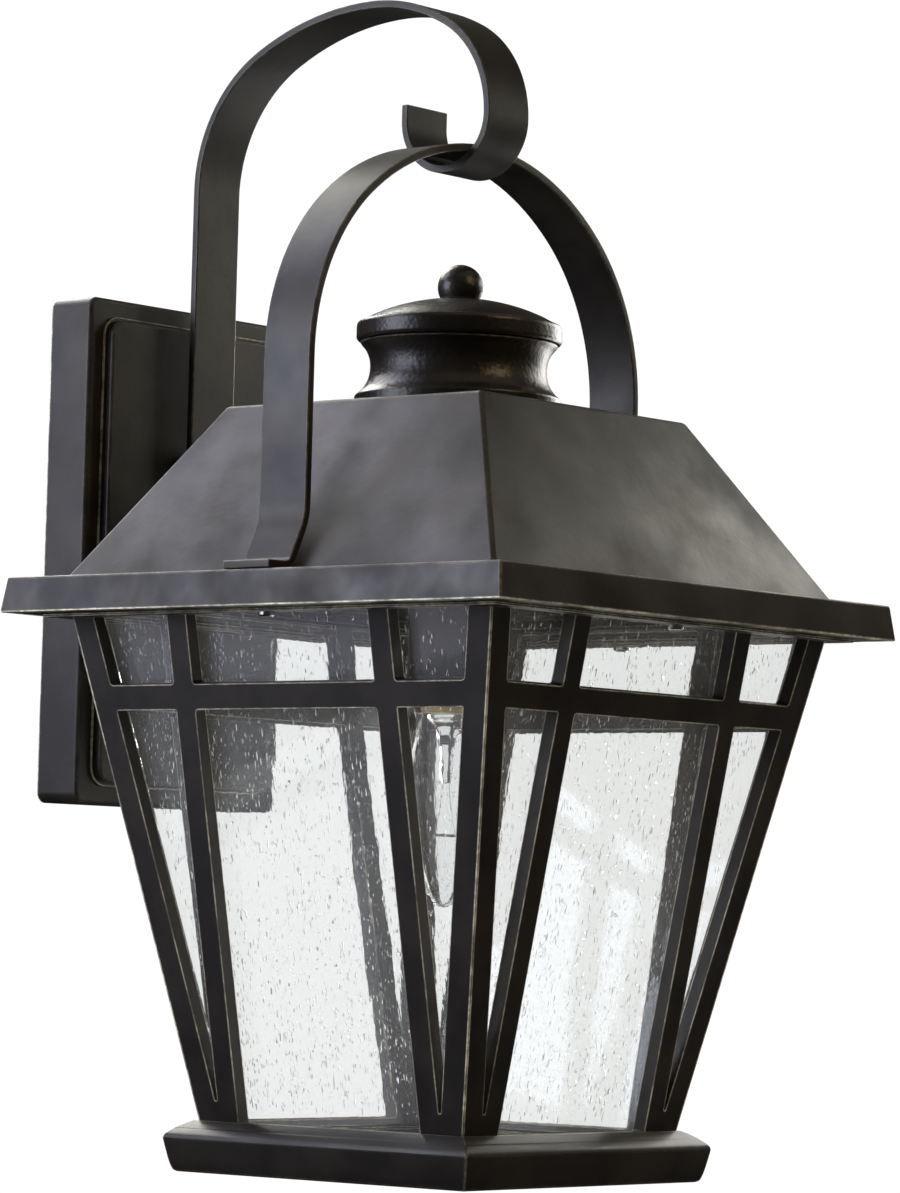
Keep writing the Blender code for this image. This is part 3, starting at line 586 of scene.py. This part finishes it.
print("hook tip at", [round(v, 4) for v in bar.end])

# %% [markdown]
# The bail is made as one half and mirrored: a flat foot for its screw, a tight bend, a splayed leg
# that eases upright, a shoulder and a flatter crown. The half stops at the centre plane with its end
# face taken off, so that the mirror can weld the two halves into one bar.

# %% Bail
bail_low, bail_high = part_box("bail_strap")
BAIL_W = bail_high.y - bail_low.y
CROWN_R, SHOULDER_R, SPLIT = 111.8 * MM - BAR_T / 2, 89.6 * MM - BAR_T / 2, math.radians(40)
KICK_R, FOOT_R, LEAN_DEGREES = 26 * MM, 5 * MM, 25
LEAN = math.radians(LEAN_DEGREES)
FOOT = 9.4 * MM
TAP_R, TAP_TOP = 1.8 * MM, 0.9 * MM       # blind hole for the screw in each foot
foot_z = bail_low.z + BAR_T / 2
kick_top = EAVE_Z + 27 * MM
crown_z = bail_high.z - BAR_T / 2
leg_rise = kick_top - KICK_R * math.sin(LEAN) - foot_z - FOOT_R * (1 - math.sin(LEAN))
spring_z = crown_z - CROWN_R * (1 - math.cos(SPLIT)) - SHOULDER_R * math.cos(SPLIT)
bar = Bar("bail_strap_bar", (bail_low.x, AXIS_Y, foot_z), 0.0, FOOT, BAIL_W, BAR_T, (1, 0, 0),
          (0, 0, 1))
bar.bend(FOOT_R, 90 - LEAN_DEGREES)
bar.run(leg_rise / math.cos(LEAN))
bar.bend(KICK_R, LEAN_DEGREES)
bar.run(spring_z - kick_top)
bar.bend(SHOULDER_R, math.degrees(SPLIT) - 90)
bar.bend(CROWN_R, -math.degrees(SPLIT))
print("half bail ends at", [round(v, 5) for v in bar.end], "and should meet x = 0")
bpy.ops.mesh.delete(type="FACE")
bail = work(bar.piece, "MIRROR", use_axis=(True, False, False), use_clip=True, merge_threshold=0.3 * MM)
soften(bail, BAR_EDGE, 3, 50)
bail_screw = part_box("bail_screw_right")
BAIL_SCREW_X = (bail_screw[0].x + bail_screw[1].x) / 2
drill(bail, [bit(TAP_R, (x, AXIS_Y, foot_z - 5 * MM), (x, AXIS_Y, foot_z + TAP_TOP), 24)
             for x in (-BAIL_SCREW_X, BAIL_SCREW_X)])
take_over(clean(bail), "bail_strap")

# %% [markdown]
# ## Roof
# The roof is folded from sheet: a slightly flared eave band, a narrow level ledge and four steep
# slopes up to a flat top. It starts as a block for the band. Insetting its top leaves the ledge, and
# extruding and shrinking the middle raises the slopes. The hips and rims are then rounded by the
# radii that a fold and a weld really leave, and the skin is thickened inwards.

# %% Roof
BAND_TOP, BAND_FOOT = 125.1 * MM, 127.0 * MM
SLOPE_FOOT, SLOPE_TOP, ROOF_H = 108.3 * MM, 65.2 * MM, 71 * MM
FOOT_OUT = 0.9 * MM                      # the slopes meet the ledge this far outside SLOPE_FOOT
HIP_R, BAND_R = 1.6 * MM, 0.8 * MM       # a weld along the hips, a fold along the band
ROOF_SHEET = 1.6 * MM
roof = stock("roof_skin", (-BAND_FOOT, -BAND_FOOT, -BAND_H), (BAND_FOOT, BAND_FOOT, 0))
pick(roof, "FACE", lambda c, n: n.z > 0.99)
flare = BAND_TOP / BAND_FOOT
bpy.ops.transform.resize(value=(flare, flare, 1), center_override=(0, 0, 0))
bpy.ops.mesh.inset(thickness=BAND_TOP - SLOPE_FOOT - FOOT_OUT)
bpy.ops.mesh.extrude_region_move(TRANSFORM_OT_translate={"value": (0, 0, ROOF_H)})
ratio = SLOPE_TOP / (SLOPE_FOOT + FOOT_OUT)
bpy.ops.transform.resize(value=(ratio, ratio, 1), center_override=(0, 0, 0))


def is_hip(a, b):
    return abs(a.z - b.z) > 40 * MM and min(a.z, b.z) > -1 * MM


def at_height(z):
    return lambda a, b: abs(a.z - z) < 1e-5 and abs(b.z - z) < 1e-5


pick(roof, "EDGE", is_hip)
bpy.ops.mesh.bevel(offset=HIP_R, segments=4, affect="EDGES")
pick(roof, "EDGE", at_height(ROOF_H))
bpy.ops.mesh.bevel(offset=HIP_R, segments=4, affect="EDGES")
pick(roof, "EDGE", lambda a, b: (at_height(0)(a, b) and max(abs(a.x), abs(a.y)) > BAND_TOP - 1 * MM
                                 and max(abs(b.x), abs(b.y)) > BAND_TOP - 1 * MM)
     or (abs(a.z - b.z) > 10 * MM and max(a.z, b.z) < 1e-5))
bpy.ops.mesh.bevel(offset=BAND_R, segments=3, affect="EDGES")
pick(roof, "FACE", lambda c, n: n.z < -0.99)
bpy.ops.mesh.delete(type="FACE")
work(roof, "SOLIDIFY", thickness=ROOF_SHEET, offset=-1, use_even_offset=True)
soften(roof, 0.3 * MM, 2, 60)
place(roof, LANTERN)


def level_hole(radius, x, z, reach, sides=48):
    """A cutter through level sheet at x, in the plane through the lantern's axis."""
    return bit(radius, (x, AXIS_Y, z - reach), (x, AXIS_Y, z + reach), sides)


drill(roof, [bit(TUBE_HOLE, (0, AXIS_Y + 70 * MM, TUBE_Z), (0, AXIS_Y + 120 * MM, TUBE_Z)),
             level_hole(4 * MM, 0, EAVE_Z + ROOF_H, 8 * MM),
             level_hole(TAP_R, BAIL_SCREW_X, EAVE_Z, 4 * MM, 24),
             level_hole(TAP_R, -BAIL_SCREW_X, EAVE_Z, 4 * MM, 24)])
take_over(clean(roof), "roof_shell")

# %% [markdown]
# ## Turned pieces
# The vent neck, its cap, the ball, the lampholder cup and the bulb are all round. On a lathe the tool
# follows an outline; here the outline is drawn vertex by vertex with extrude, then spun a full turn.
# Where a real outline is a smooth curve, `flow` eases a spline through a few measured points.

# %% Lathe helpers
def flow(points, steps=6):
    """Catmull-Rom curve through (radius, height) points, given in millimetres."""
    out = []
    for i in range(len(points) - 1):
        a, b = Vector(points[max(i - 1, 0)]), Vector(points[i])
        c, d = Vector(points[i + 1]), Vector(points[min(i + 2, len(points) - 1)])
        for k in range(steps):
            t = k / steps
            out.append(0.5 * ((2 * b) + (c - a) * t + (2 * a - 5 * b + 4 * c - d) * t ** 2
                              + (3 * b - a - 3 * c + d) * t ** 3))
    out.append(Vector(points[-1]))
    return [(p.x, p.y) for p in out]


def turn_on_lathe(name, outline, sides=96, closed=True, smooth=35):
    """Spins an outline of (radius, height) in millimetres about the lantern's axis."""
    let_go()
    bpy.ops.mesh.primitive_plane_add(size=1)
    piece = bpy.context.object
    piece.name = piece.data.name = name
    bpy.ops.object.mode_set(mode="EDIT")
    bpy.ops.mesh.select_all(action="SELECT")
    bpy.ops.mesh.merge(type="CENTER")
    bpy.ops.mesh.select_mode(type="VERT")
    bpy.ops.mesh.select_all(action="SELECT")
    points = [Vector((r * MM, 0, z * MM)) for r, z in outline]
    if closed:
        points.append(points[0])
    bpy.ops.transform.translate(value=points[0])
    for before, after in zip(points, points[1:]):
        bpy.ops.mesh.extrude_region_move(TRANSFORM_OT_translate={"value": after - before})
    bpy.ops.mesh.select_all(action="SELECT")
    bpy.ops.mesh.remove_doubles(threshold=1e-6)
    bpy.ops.mesh.select_all(action="SELECT")
    bpy.ops.mesh.spin(steps=sides, angle=2 * math.pi, center=(0, 0, 0), axis=(0, 0, 1))
    clean(piece, smooth)
    return place(piece, LANTERN)


# %% Vent neck and cap
neck_outline = ([(33.4, 71.3), (41.0, 71.3), (41.4, 71.9), (41.5, 76.6)]
                + flow([(41.3, 77.3), (40.5, 78.1), (38.3, 80.2), (36.2, 84.0), (35.4, 88.4), (35.8, 92.4),
                        (37.2, 95.8), (39.0, 98.0), (39.6, 98.9)], 5)
                + [(33.4, 99.0)])
neck = turn_on_lathe("vent_neck_turning", neck_outline)
take_over(neck, "vent_neck")
cap_outline = ([(39.4, 99.3)] + flow([(40.4, 99.6), (41.1, 100.4), (41.2, 101.4)], 3)
               + flow([(41.2, 105.0), (41.0, 106.2), (40.2, 107.1), (39.0, 107.5)], 4)
               + flow([(38.3, 107.9), (33.2, 110.5), (26.2, 113.2), (18.0, 115.4), (9.6, 116.8),
                       (3.5, 117.0)], 5)
               + [(3.5, 115.3), (18.0, 113.6), (33.0, 108.6), (38.0, 105.4), (38.0, 99.3)])
cap = turn_on_lathe("vent_cap_turning", cap_outline, smooth=24)
take_over(cap, "vent_cap")

# %% [markdown]
# The ball is an arc from its flat foot to its top, with a blind hole for the rod. Its outline starts
# and ends on the axis, so it stays open: a closing line along the axis would spin into loose edges.

# %% Ball finial, drilled for the rod
BALL_R, BALL_Z, FLAT_R = 9.2, 122.0, 4.7
HOLE_R, HOLE_TOP = 3.5, 126.2
foot_angle = -math.asin(FLAT_R / BALL_R)
arc = [foot_angle + (math.pi / 2 - foot_angle) * k / 24 for k in range(25)]
ball_outline = [(0.0, HOLE_TOP), (HOLE_R, HOLE_TOP), (HOLE_R, BALL_Z + BALL_R * math.sin(foot_angle))]
ball_outline += [(BALL_R * math.cos(a), BALL_Z + BALL_R * math.sin(a)) for a in arc[:-1]]
ball_outline += [(0.0, BALL_Z + BALL_R)]
ball = turn_on_lathe("finial_ball_turning", ball_outline, 72, closed=False, smooth=40)
take_over(ball, "finial_ball")

# %% [markdown]
# ## Cage
# Each of the four sides is a cast frame that leans inwards on its way down and meets its neighbours
# on a mitre. A slab is tilted to the cage's lean and sawn to size by four bisecting cuts: two mitre
# planes that pass through the lantern's axis, and two level planes at top and bottom. The windows are
# then cut with wedge-shaped cutters, and only one side is modelled; the others are copies turned by a
# quarter.

# %% Cage sizes
HALF_AT_EAVE, TAPER = 109.6 * MM, 0.2002
CAGE_TOP, CAGE_FOOT = -7 * MM, -215.8 * MM
FRAME_T, POST_W = 6 * MM, 11.3 * MM
BAR_TOP, BAR_LOW = -42.0 * MM, -51.8 * MM
SASH_IN, SASH_OUT = 46.2 * MM, 56.2 * MM
LEAN_ANGLE = math.atan(TAPER)


def half_at(z):
    return HALF_AT_EAVE + TAPER * z


def tilt(piece):
    """Leans an upright slab whose front face is at y = 0 onto the cage's front plane."""
    hold(piece)
    piece.rotation_euler = (LEAN_ANGLE, 0, 0)
    piece.location = (0, -HALF_AT_EAVE, 0)
    bpy.ops.object.transform_apply(location=True, rotation=True, scale=True)
    return piece


def saw(piece, point, normal):
    """Cuts with a plane and throws away what its normal points at."""
    hold(piece)
    bpy.ops.object.mode_set(mode="EDIT")
    bpy.ops.mesh.select_all(action="SELECT")
    bpy.ops.mesh.bisect(plane_co=point, plane_no=normal, use_fill=True, clear_outer=True)
    bpy.ops.object.mode_set(mode="OBJECT")


def leaning_slab(name, near, far, top, foot, gap):
    """A slab between two depths behind the cage's front plane, mitred at both flanks."""
    reach = 1.2 * HALF_AT_EAVE
    piece = tilt(stock(name, (-reach, near, -240 * MM), (reach, far, 20 * MM)))
    saw(piece, (gap, 0, 0), (-1, 1, 0))
    saw(piece, (-gap, 0, 0), (1, 1, 0))
    saw(piece, (0, 0, top), (0, 0, 1))
    saw(piece, (0, 0, foot), (0, 0, -1))
    return piece


print("cage half width at the foot:", round(half_at(CAGE_FOOT) / MM, 1), "mm")

# %% [markdown]
# Each window is cut by a wedge. Its inner side is plumb and its outer side follows the post, so the
# outer windows narrow to a point near the foot. Rounding the wedge's long edges rounds the window's
# corners. A cutter is shaped upright, then leaned like the slab that it cuts.

# %% Wedge cutters for the windows
STEEP = math.sqrt(1 + TAPER ** 2)        # length along the leaning face for each unit of height


def post_edge(z):
    return half_at(z) - POST_W


def window(side_in, out_low, out_high, low, high, corner):
    """Cutter with a plumb inner side and an outer side that runs from out_low to out_high."""
    wedge = stock("window", (side_in, -4 * MM, low * STEEP), (out_high, 12 * MM, high * STEEP))
    middle = (low + high) / 2 * STEEP
    pick(wedge, "VERT", lambda co: co.x > side_in + 1e-6 and co.z < middle)
    bpy.ops.transform.translate(value=(out_low - out_high, 0, 0))
    pick(wedge, "EDGE", runs_to_wall)
    bpy.ops.mesh.bevel(offset=corner, segments=5, affect="EDGES")
    return tilt(wedge)


def other_side(cutter):
    """The same cutter, mirrored across the middle of the face."""
    hold(cutter)
    bpy.ops.object.duplicate()
    twin = bpy.context.object
    bpy.ops.object.mode_set(mode="EDIT")
    bpy.ops.mesh.select_all(action="SELECT")
    bpy.ops.transform.resize(value=(-1, 1, 1), center_override=(0, 0, 0))
    bpy.ops.mesh.normals_make_consistent(inside=False)
    bpy.ops.object.mode_set(mode="OBJECT")
    return twin


WINDOW_TOP, WINDOW_FOOT = -11.5 * MM, -213.2 * MM
TIP = (SASH_OUT + POST_W - HALF_AT_EAVE) / TAPER
TIP_W = 1.3 * MM
CORNER_R, TIP_CORNER_R = 1.4 * MM, 0.55 * MM
cutters = [window(-SASH_IN, SASH_IN, SASH_IN, BAR_TOP, WINDOW_TOP, CORNER_R),
           window(-SASH_IN, SASH_IN, SASH_IN, WINDOW_FOOT, BAR_LOW, CORNER_R)]
for low, high, out_low, corner in ((BAR_TOP, WINDOW_TOP, post_edge(BAR_TOP), CORNER_R),
                                   (TIP + TIP_W / TAPER, BAR_LOW, SASH_OUT + TIP_W, TIP_CORNER_R)):
    wedge = window(SASH_OUT, out_low, post_edge(high), low, high, corner)
    cutters += [wedge, other_side(wedge)]
print(len(cutters), "windows in each side")

# %% [markdown]
# One frame is cut and finished as the pattern, and the four castings are copies of it, as if from one
# mould. A copy's turn is applied to its mesh, so that its object stays unturned.

# %% Four cage frames
SIDES = ("front", "right", "back", "left")
pattern = leaning_slab("cage_frame_front_casting", 0, FRAME_T, CAGE_TOP, CAGE_FOOT, 0.15 * MM)
drill(pattern, cutters)
soften(pattern, 0.6 * MM, 3, 40)
clean(pattern)


def quarter_copies(piece, name):
    """The piece and three copies, each turned by a quarter about the lantern's axis."""
    family = []
    for k, side in enumerate(SIDES):
        copy = piece.copy()
        copy.data = piece.data.copy()
        copy.name = copy.data.name = name % side
        bpy.context.scene.collection.objects.link(copy)
        family.append(place(copy, LANTERN, math.radians(90 * k)))
    bpy.data.objects.remove(piece, do_unlink=True)
    return family


pattern.name = "pattern"
for side, casting in zip(SIDES, quarter_copies(pattern, "cage_frame_%s_casting")):
    take_over(casting, "cage_frame_" + side)

# %% [markdown]
# ## Seeded glass
# A pane is a slab sawn the same way, a little behind the frame. Its seeds are bubbles of air in the
# glass. One tiny ball of two dozen faces is modelled, drawn out to a spindle, and copied about two
# thousand times inside each pane. Copies this many are placed by arithmetic, not by hand. Their faces
# are turned round to look into the bubble, because that is the way out of the glass.

# %% Glass panes with their seeds
GLASS_NEAR, GLASS_FAR = 6.3 * MM, 9.3 * MM
GLASS_TOP, GLASS_FOOT = -9 * MM, -214.6 * MM
SEEDS = 2000
SKIN = 0.6 * MM                          # solid glass kept between a seed's middle and the pane's faces

let_go()
bpy.ops.mesh.primitive_uv_sphere_add(segments=6, ring_count=4, radius=1)
seed_ball = bpy.context.object
SEED_SHAPE = [v.co.copy() for v in seed_ball.data.vertices]
SEED_FACES = [tuple(reversed(f.vertices)) for f in seed_ball.data.polygons]
bpy.data.objects.remove(seed_ball, do_unlink=True)


def seeds(key):
    """Spindle bubbles inside an upright pane, leaned like the pane afterwards."""
    draw = random.Random(key)
    points, faces = [], []
    for _ in range(SEEDS):
        v = draw.uniform(GLASS_FOOT * STEEP + 6 * MM, GLASS_TOP * STEEP - 4 * MM)
        room = half_at(v / STEEP) - 14 * MM
        size = draw.uniform(0.0, 1.0) ** 2.2
        thick = (0.11 + 0.16 * size) * MM
        long = thick * draw.uniform(3.0, 7.5)
        across = draw.uniform(-room, room)
        deep = draw.uniform(GLASS_NEAR + SKIN, GLASS_FAR - SKIN)
        spot = Vector((across, deep, v))
        first = len(points)
        points += [spot + Vector((p.x * thick, p.y * thick, p.z * long)) for p in SEED_SHAPE]
        faces += [tuple(first + i for i in f) for f in SEED_FACES]
    mesh = bpy.data.meshes.new("seeds")
    mesh.from_pydata(points, [], faces)
    cloud = bpy.data.objects.new("seeds", mesh)
    bpy.context.scene.collection.objects.link(cloud)
    hold(cloud)
    bpy.ops.object.shade_smooth()
    return tilt(cloud)


for k, side in enumerate(SIDES):
    pane = leaning_slab("glass_%s_pane" % side, GLASS_NEAR, GLASS_FAR, GLASS_TOP, GLASS_FOOT, 0.5 * MM)
    soften(pane, 0.25 * MM, 1, 40)
    clean(pane, 0)
    slab_faces = len(pane.data.polygons)
    cloud = seeds(11 + k)
    hold(pane)
    cloud.select_set(True)
    bpy.ops.object.join()
    take_over(place(pane, LANTERN, math.radians(90 * k)), "glass_" + side)
    pane.data.materials.append(seed_skin)
    for face in pane.data.polygons[slab_faces:]:
        face.material_index = 1

# %% [markdown]
# ## Base tray
# The cage stands on a flared tray: a floor, a low lip that holds the glass, a rounded shoulder and a
# skirt that tucks in under it, hollow underneath. It grows from the floor outwards. Each step
# extrudes the last square and resizes it, as a pastry cook would pipe it ring on ring.

# %% Base tray
def grow_square(name, levels):
    """A square body from (half width, height) levels in millimetres, capped at both ends."""
    let_go()
    bpy.ops.mesh.primitive_plane_add(size=2 * levels[0][0] * MM, location=(0, 0, levels[0][1] * MM))
    piece = bpy.context.object
    piece.name = piece.data.name = name
    bpy.ops.object.transform_apply(location=True, rotation=True, scale=True)
    bpy.ops.object.mode_set(mode="EDIT")
    bpy.ops.mesh.select_all(action="SELECT")
    for (half, z), (next_half, next_z) in zip(levels, levels[1:]):
        bpy.ops.mesh.extrude_region_move(TRANSFORM_OT_translate={"value": (0, 0, (next_z - z) * MM)})
        ratio = next_half / half
        bpy.ops.transform.resize(value=(ratio, ratio, 1), center_override=(0, 0, 0))
    bpy.ops.object.mode_set(mode="OBJECT")
    return piece


WALL = half_at(-212.3 * MM) / MM + 0.5
levels = [(58, -218.4), (58, -216.1), (WALL, -216.1), (WALL, -212.2), (WALL + 0.8, -211.8)]
levels += flow([(70.6, -212.9), (73.2, -214.5), (75.5, -216.2), (76.8, -217.5), (77.3, -219.0)], 3)
levels += flow([(76.5, -223.0), (75.5, -227.6), (74.6, -230.4), (73.9, -231.5), (72.6, -232.0)], 3)
levels += [(71.2, -232.0), (73.0, -224.0), (72.8, -221.2), (66.0, -220.2)]
tray = grow_square("base_tray_skin", levels)
SKIRT_IN = 73.2 * MM


def runs_down_corner(a, b):
    """On a diagonal of the square, outside the skirt's inner wall, and both ends at the same corner."""
    diagonal = all(abs(abs(v.x) - abs(v.y)) < 1e-5 for v in (a, b))
    return diagonal and a.x * b.x > 0 and a.y * b.y > 0 and min(abs(a.x), abs(b.x)) > SKIRT_IN


pick(tray, "EDGE", runs_down_corner)
bpy.ops.mesh.bevel(offset=0.7 * MM, segments=3, affect="EDGES")
clean(tray, 28)
take_over(place(tray, LANTERN), "base_tray")

# %% [markdown]
# ## Lampholder and bulb
# A deep spun cup hides the lampholder, and a slim clear bulb hangs from it on the lantern's axis,
# seen only through the glass. The bulb gets what a real one has: a drawn-out envelope, a glass stem,
# two lead wires and a filament.

# %% Cup, screw shell and envelope
cup_outline = ([(3.4, 3.2)] + flow([(11.6, 3.2), (14.0, 2.4), (15.6, 0.8), (16.5, -1.2), (16.8, -4.0)], 4)
               + [(16.8, -44.6), (17.3, -45.2), (17.3, -45.9), (15.9, -46.0), (15.4, -45.2), (15.4, -3.6),
                  (11.4, 1.6), (3.4, 1.6)])
take_over(turn_on_lathe("lampholder_cup", cup_outline, 72), "socket_cup")

shell_outline = [(0.0, -22.0), (4.4, -22.0), (5.4, -24.0), (12.0, -27.0)]
for turn in range(5):
    z = -28.6 - 3.4 * turn
    shell_outline += [(12.45, z + 0.9), (12.95, z + 0.5), (13.15, z), (12.95, z - 0.5), (12.45, z - 1.2),
                      (12.35, z - 1.7)]
shell_outline += [(12.9, -46.0), (13.0, -46.4), (12.6, -48.6), (0.0, -48.6)]
take_over(turn_on_lathe("bulb_screw_shell", shell_outline, 64, closed=False), "bulb_base")

outside = flow([(12.4, -49.0), (12.7, -53.0), (14.0, -59.0), (16.0, -67.0), (17.3, -75.0), (17.5, -83.0),
                (16.3, -92.0), (13.8, -101.0), (10.6, -110.0), (7.8, -117.0), (5.4, -122.0), (2.9, -124.7),
                (0.0, -125.6)], 3)
inside = flow([(0.0, -124.8), (2.4, -124.0), (4.7, -121.5), (7.0, -116.6), (9.8, -109.7), (13.0, -100.7),
               (15.5, -91.8), (16.7, -83.0), (16.5, -75.1), (15.2, -67.2), (13.2, -59.2), (11.9, -53.0),
               (11.6, -49.0)], 3)
take_over(turn_on_lathe("bulb_envelope", inside + outside, 64, closed=False, smooth=60), "bulb_glass")

# %% [markdown]
# A glass stem reaches down from the bulb's base, two leads spread from its tip, and the filament is a
# coil strung between them. Leads and coil are one path: a curve with a round section, made a mesh.

# %% Stem, leads and filament
def wire(name, points, radius, sides=4):
    """A round wire through points, in millimetres about the lantern's axis."""
    let_go()
    path = bpy.data.curves.new(name, "CURVE")
    path.dimensions = "3D"
    path.bevel_depth = radius * MM
    path.bevel_resolution = sides
    path.use_fill_caps = True
    spline = path.splines.new("POLY")
    spline.points.add(len(points) - 1)
    for point, (x, y, z) in zip(spline.points, points):
        point.co = (x * MM, y * MM, z * MM, 1)
    piece = bpy.data.objects.new(name, path)
    bpy.context.scene.collection.objects.link(piece)
    hold(piece)
    bpy.ops.object.convert(target="MESH")
    return place(clean(bpy.context.object, 40), LANTERN)


stem_outline = (flow([(0.0, -49.2), (8.5, -49.4), (6.0, -53.0), (3.6, -58.0), (2.6, -66.0),
                      (2.4, -74.0)], 3)
                + [(1.6, -76.0), (0.0, -76.4)])
stem = turn_on_lathe("bulb_stem", stem_outline, 32, closed=False, smooth=50)
stem.data.materials.append(bulb_clear)
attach(stem, "bulb")

COIL_TURNS, COIL_R, COIL_Z = 26, 0.45, -97.0
STEPS = COIL_TURNS * 8                   # eight points to a turn
coil = [(-6.5 + 13.0 * k / STEPS, COIL_R * math.cos(k * math.pi / 4),
         COIL_Z + COIL_R * math.sin(k * math.pi / 4)) for k in range(STEPS + 1)]
loop = [(-1.4, 0, -75.0), (-3.0, 0, -84.0), (-6.5, 0, -96.0)] + coil + [(6.5, 0, -96.0), (3.0, 0, -84.0),
                                                                       (1.4, 0, -75.0)]
filament = wire("bulb_filament", loop, 0.16, 1)
filament.data.materials.append(filament_metal)
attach(filament, "bulb")
print("filament faces:", len(filament.data.polygons))

# %% [markdown]
# ## Studio
# The lantern floats in front of white, as in a catalogue. The floor is a pale sheet far below it. It
# glows a little, but only to the eye, and the metal doesn't mirror it. It is clear from underneath,
# so that a low camera can look up through it.

# %% Floor
FLOOR_Z = -0.50
let_go()
bpy.ops.mesh.primitive_plane_add(size=4.6, location=(0, AXIS_Y, FLOOR_Z))
floor = bpy.context.object
floor.name = "floor"
floor.visible_glossy = False
paper, nodes, links, shader = tree_of("floor_paper")
shader.inputs["Base Color"].default_value = (0.86, 0.86, 0.85, 1)
shader.inputs["Roughness"].default_value = 0.9
shader.inputs["Emission Color"].default_value = (0.55, 0.55, 0.54, 1)
seen = nodes.new("ShaderNodeLightPath")
links.new(seen.outputs["Is Camera Ray"], shader.inputs["Emission Strength"])
side = nodes.new("ShaderNodeNewGeometry")
through = nodes.new("ShaderNodeBsdfTransparent")
sheet = nodes.new("ShaderNodeMixShader")
links.new(side.outputs["Backfacing"], sheet.inputs["Fac"])
links.new(shader.outputs["BSDF"], sheet.inputs[1])
links.new(through.outputs["BSDF"], sheet.inputs[2])
links.new(sheet.outputs["Shader"], nodes["Material Output"].inputs["Surface"])
floor.data.materials.append(paper)

# %% [markdown]
# The world is white to the eye and through the glass. To the metal it is nearly black, a little
# lighter above than below, so that what the metal mirrors comes from the soft boxes. A mix that
# depends on the kind of ray switches between the two.

# %% World
world = bpy.data.worlds.new("studio")
bpy.context.scene.world = world
world.use_nodes = True
nodes, links = world.node_tree.nodes, world.node_tree.links
sky = nodes["Background"]
ray = nodes.new("ShaderNodeLightPath")
ways = nodes.new("ShaderNodeTexCoord")
parts = nodes.new("ShaderNodeSeparateXYZ")
links.new(ways.outputs["Generated"], parts.inputs["Vector"])
strength = rescale(nodes, links, parts.outputs["Z"], -0.35, 0.45, 0.012, 0.055, True)
for kind, white in (("Is Transmission Ray", 1.08), ("Is Camera Ray", 1.05)):
    step = nodes.new("ShaderNodeMix")
    links.new(ray.outputs[kind], step.inputs["Factor"])
    links.new(strength, step.inputs["A"])
    step.inputs["B"].default_value = white
    strength = step.outputs["Result"]
links.new(strength, sky.inputs["Strength"])
sky.inputs["Color"].default_value = (1, 1, 1, 1)

# %% [markdown]
# Eight soft boxes do the rest. Three cool ones stand on the left, one is high behind, a tall one is
# on the right with a small one close to the roof, a warm one is high in front, and a wide one is
# overhead. None of them shows to the eye itself.

# %% Soft boxes
CENTRE = Vector((0, AXIS_Y, EAVE_Z - 40 * MM))


def soft_box(name, way, far, width, height, watts, colour, aim=CENTRE):
    """A rectangular panel at a distance along a direction, facing its aim."""
    spot = aim + Vector(way).normalized() * far
    panel = bpy.data.lights.new(name, "AREA")
    panel.shape = "RECTANGLE"
    panel.size, panel.size_y = width, height
    panel.energy = watts
    panel.color = colour
    lamp = bpy.data.objects.new(name, panel)
    lamp.location = spot
    lamp.rotation_euler = (aim - spot).to_track_quat("-Z", "Y").to_euler()
    lamp.visible_camera = False
    bpy.context.scene.collection.objects.link(lamp)
    print(name, [round(v, 2) for v in spot])


soft_box("cool_left", (-0.80, 0.62, 0.12), 1.6, 1.3, 1.2, 4.6, (0.72, 0.74, 1.0))
soft_box("cool_high_left", (-0.25, 0.66, 0.72), 1.0, 0.5, 0.4, 3.0, (0.78, 0.80, 1.0))
soft_box("cool_near_left", (-0.75, 0.60, 0.10), 0.7, 0.4, 0.4, 3.0, (0.76, 0.84, 1.0),
         aim=CENTRE + Vector((-0.1, 0, 0.2)))
soft_box("high_behind", (0.25, 0.75, 0.62), 1.6, 0.8, 0.6, 16, (1.0, 1.0, 0.93))
soft_box("tall_right", (1.0, 0.12, 0.10), 1.2, 0.6, 1.0, 16.3, (1.0, 0.98, 0.95))
soft_box("small_right", (0.80, -0.20, 0.57), 0.42, 0.2, 0.2, 0.5, (1.0, 1.0, 0.85),
         aim=CENTRE + Vector((0.2, -0.09, 0.07)))
soft_box("high_front", (0.1, -0.8, 0.6), 2.0, 0.8, 0.8, 6.5, (1.0, 0.75, 0.45))
soft_box("overhead", (0, 0, 1), 2.2, 3.0, 3.0, 9.5, (1.0, 0.95, 0.78))

bpy.context.scene.view_settings.view_transform = "Standard"
bpy.context.scene.view_settings.look = "None"
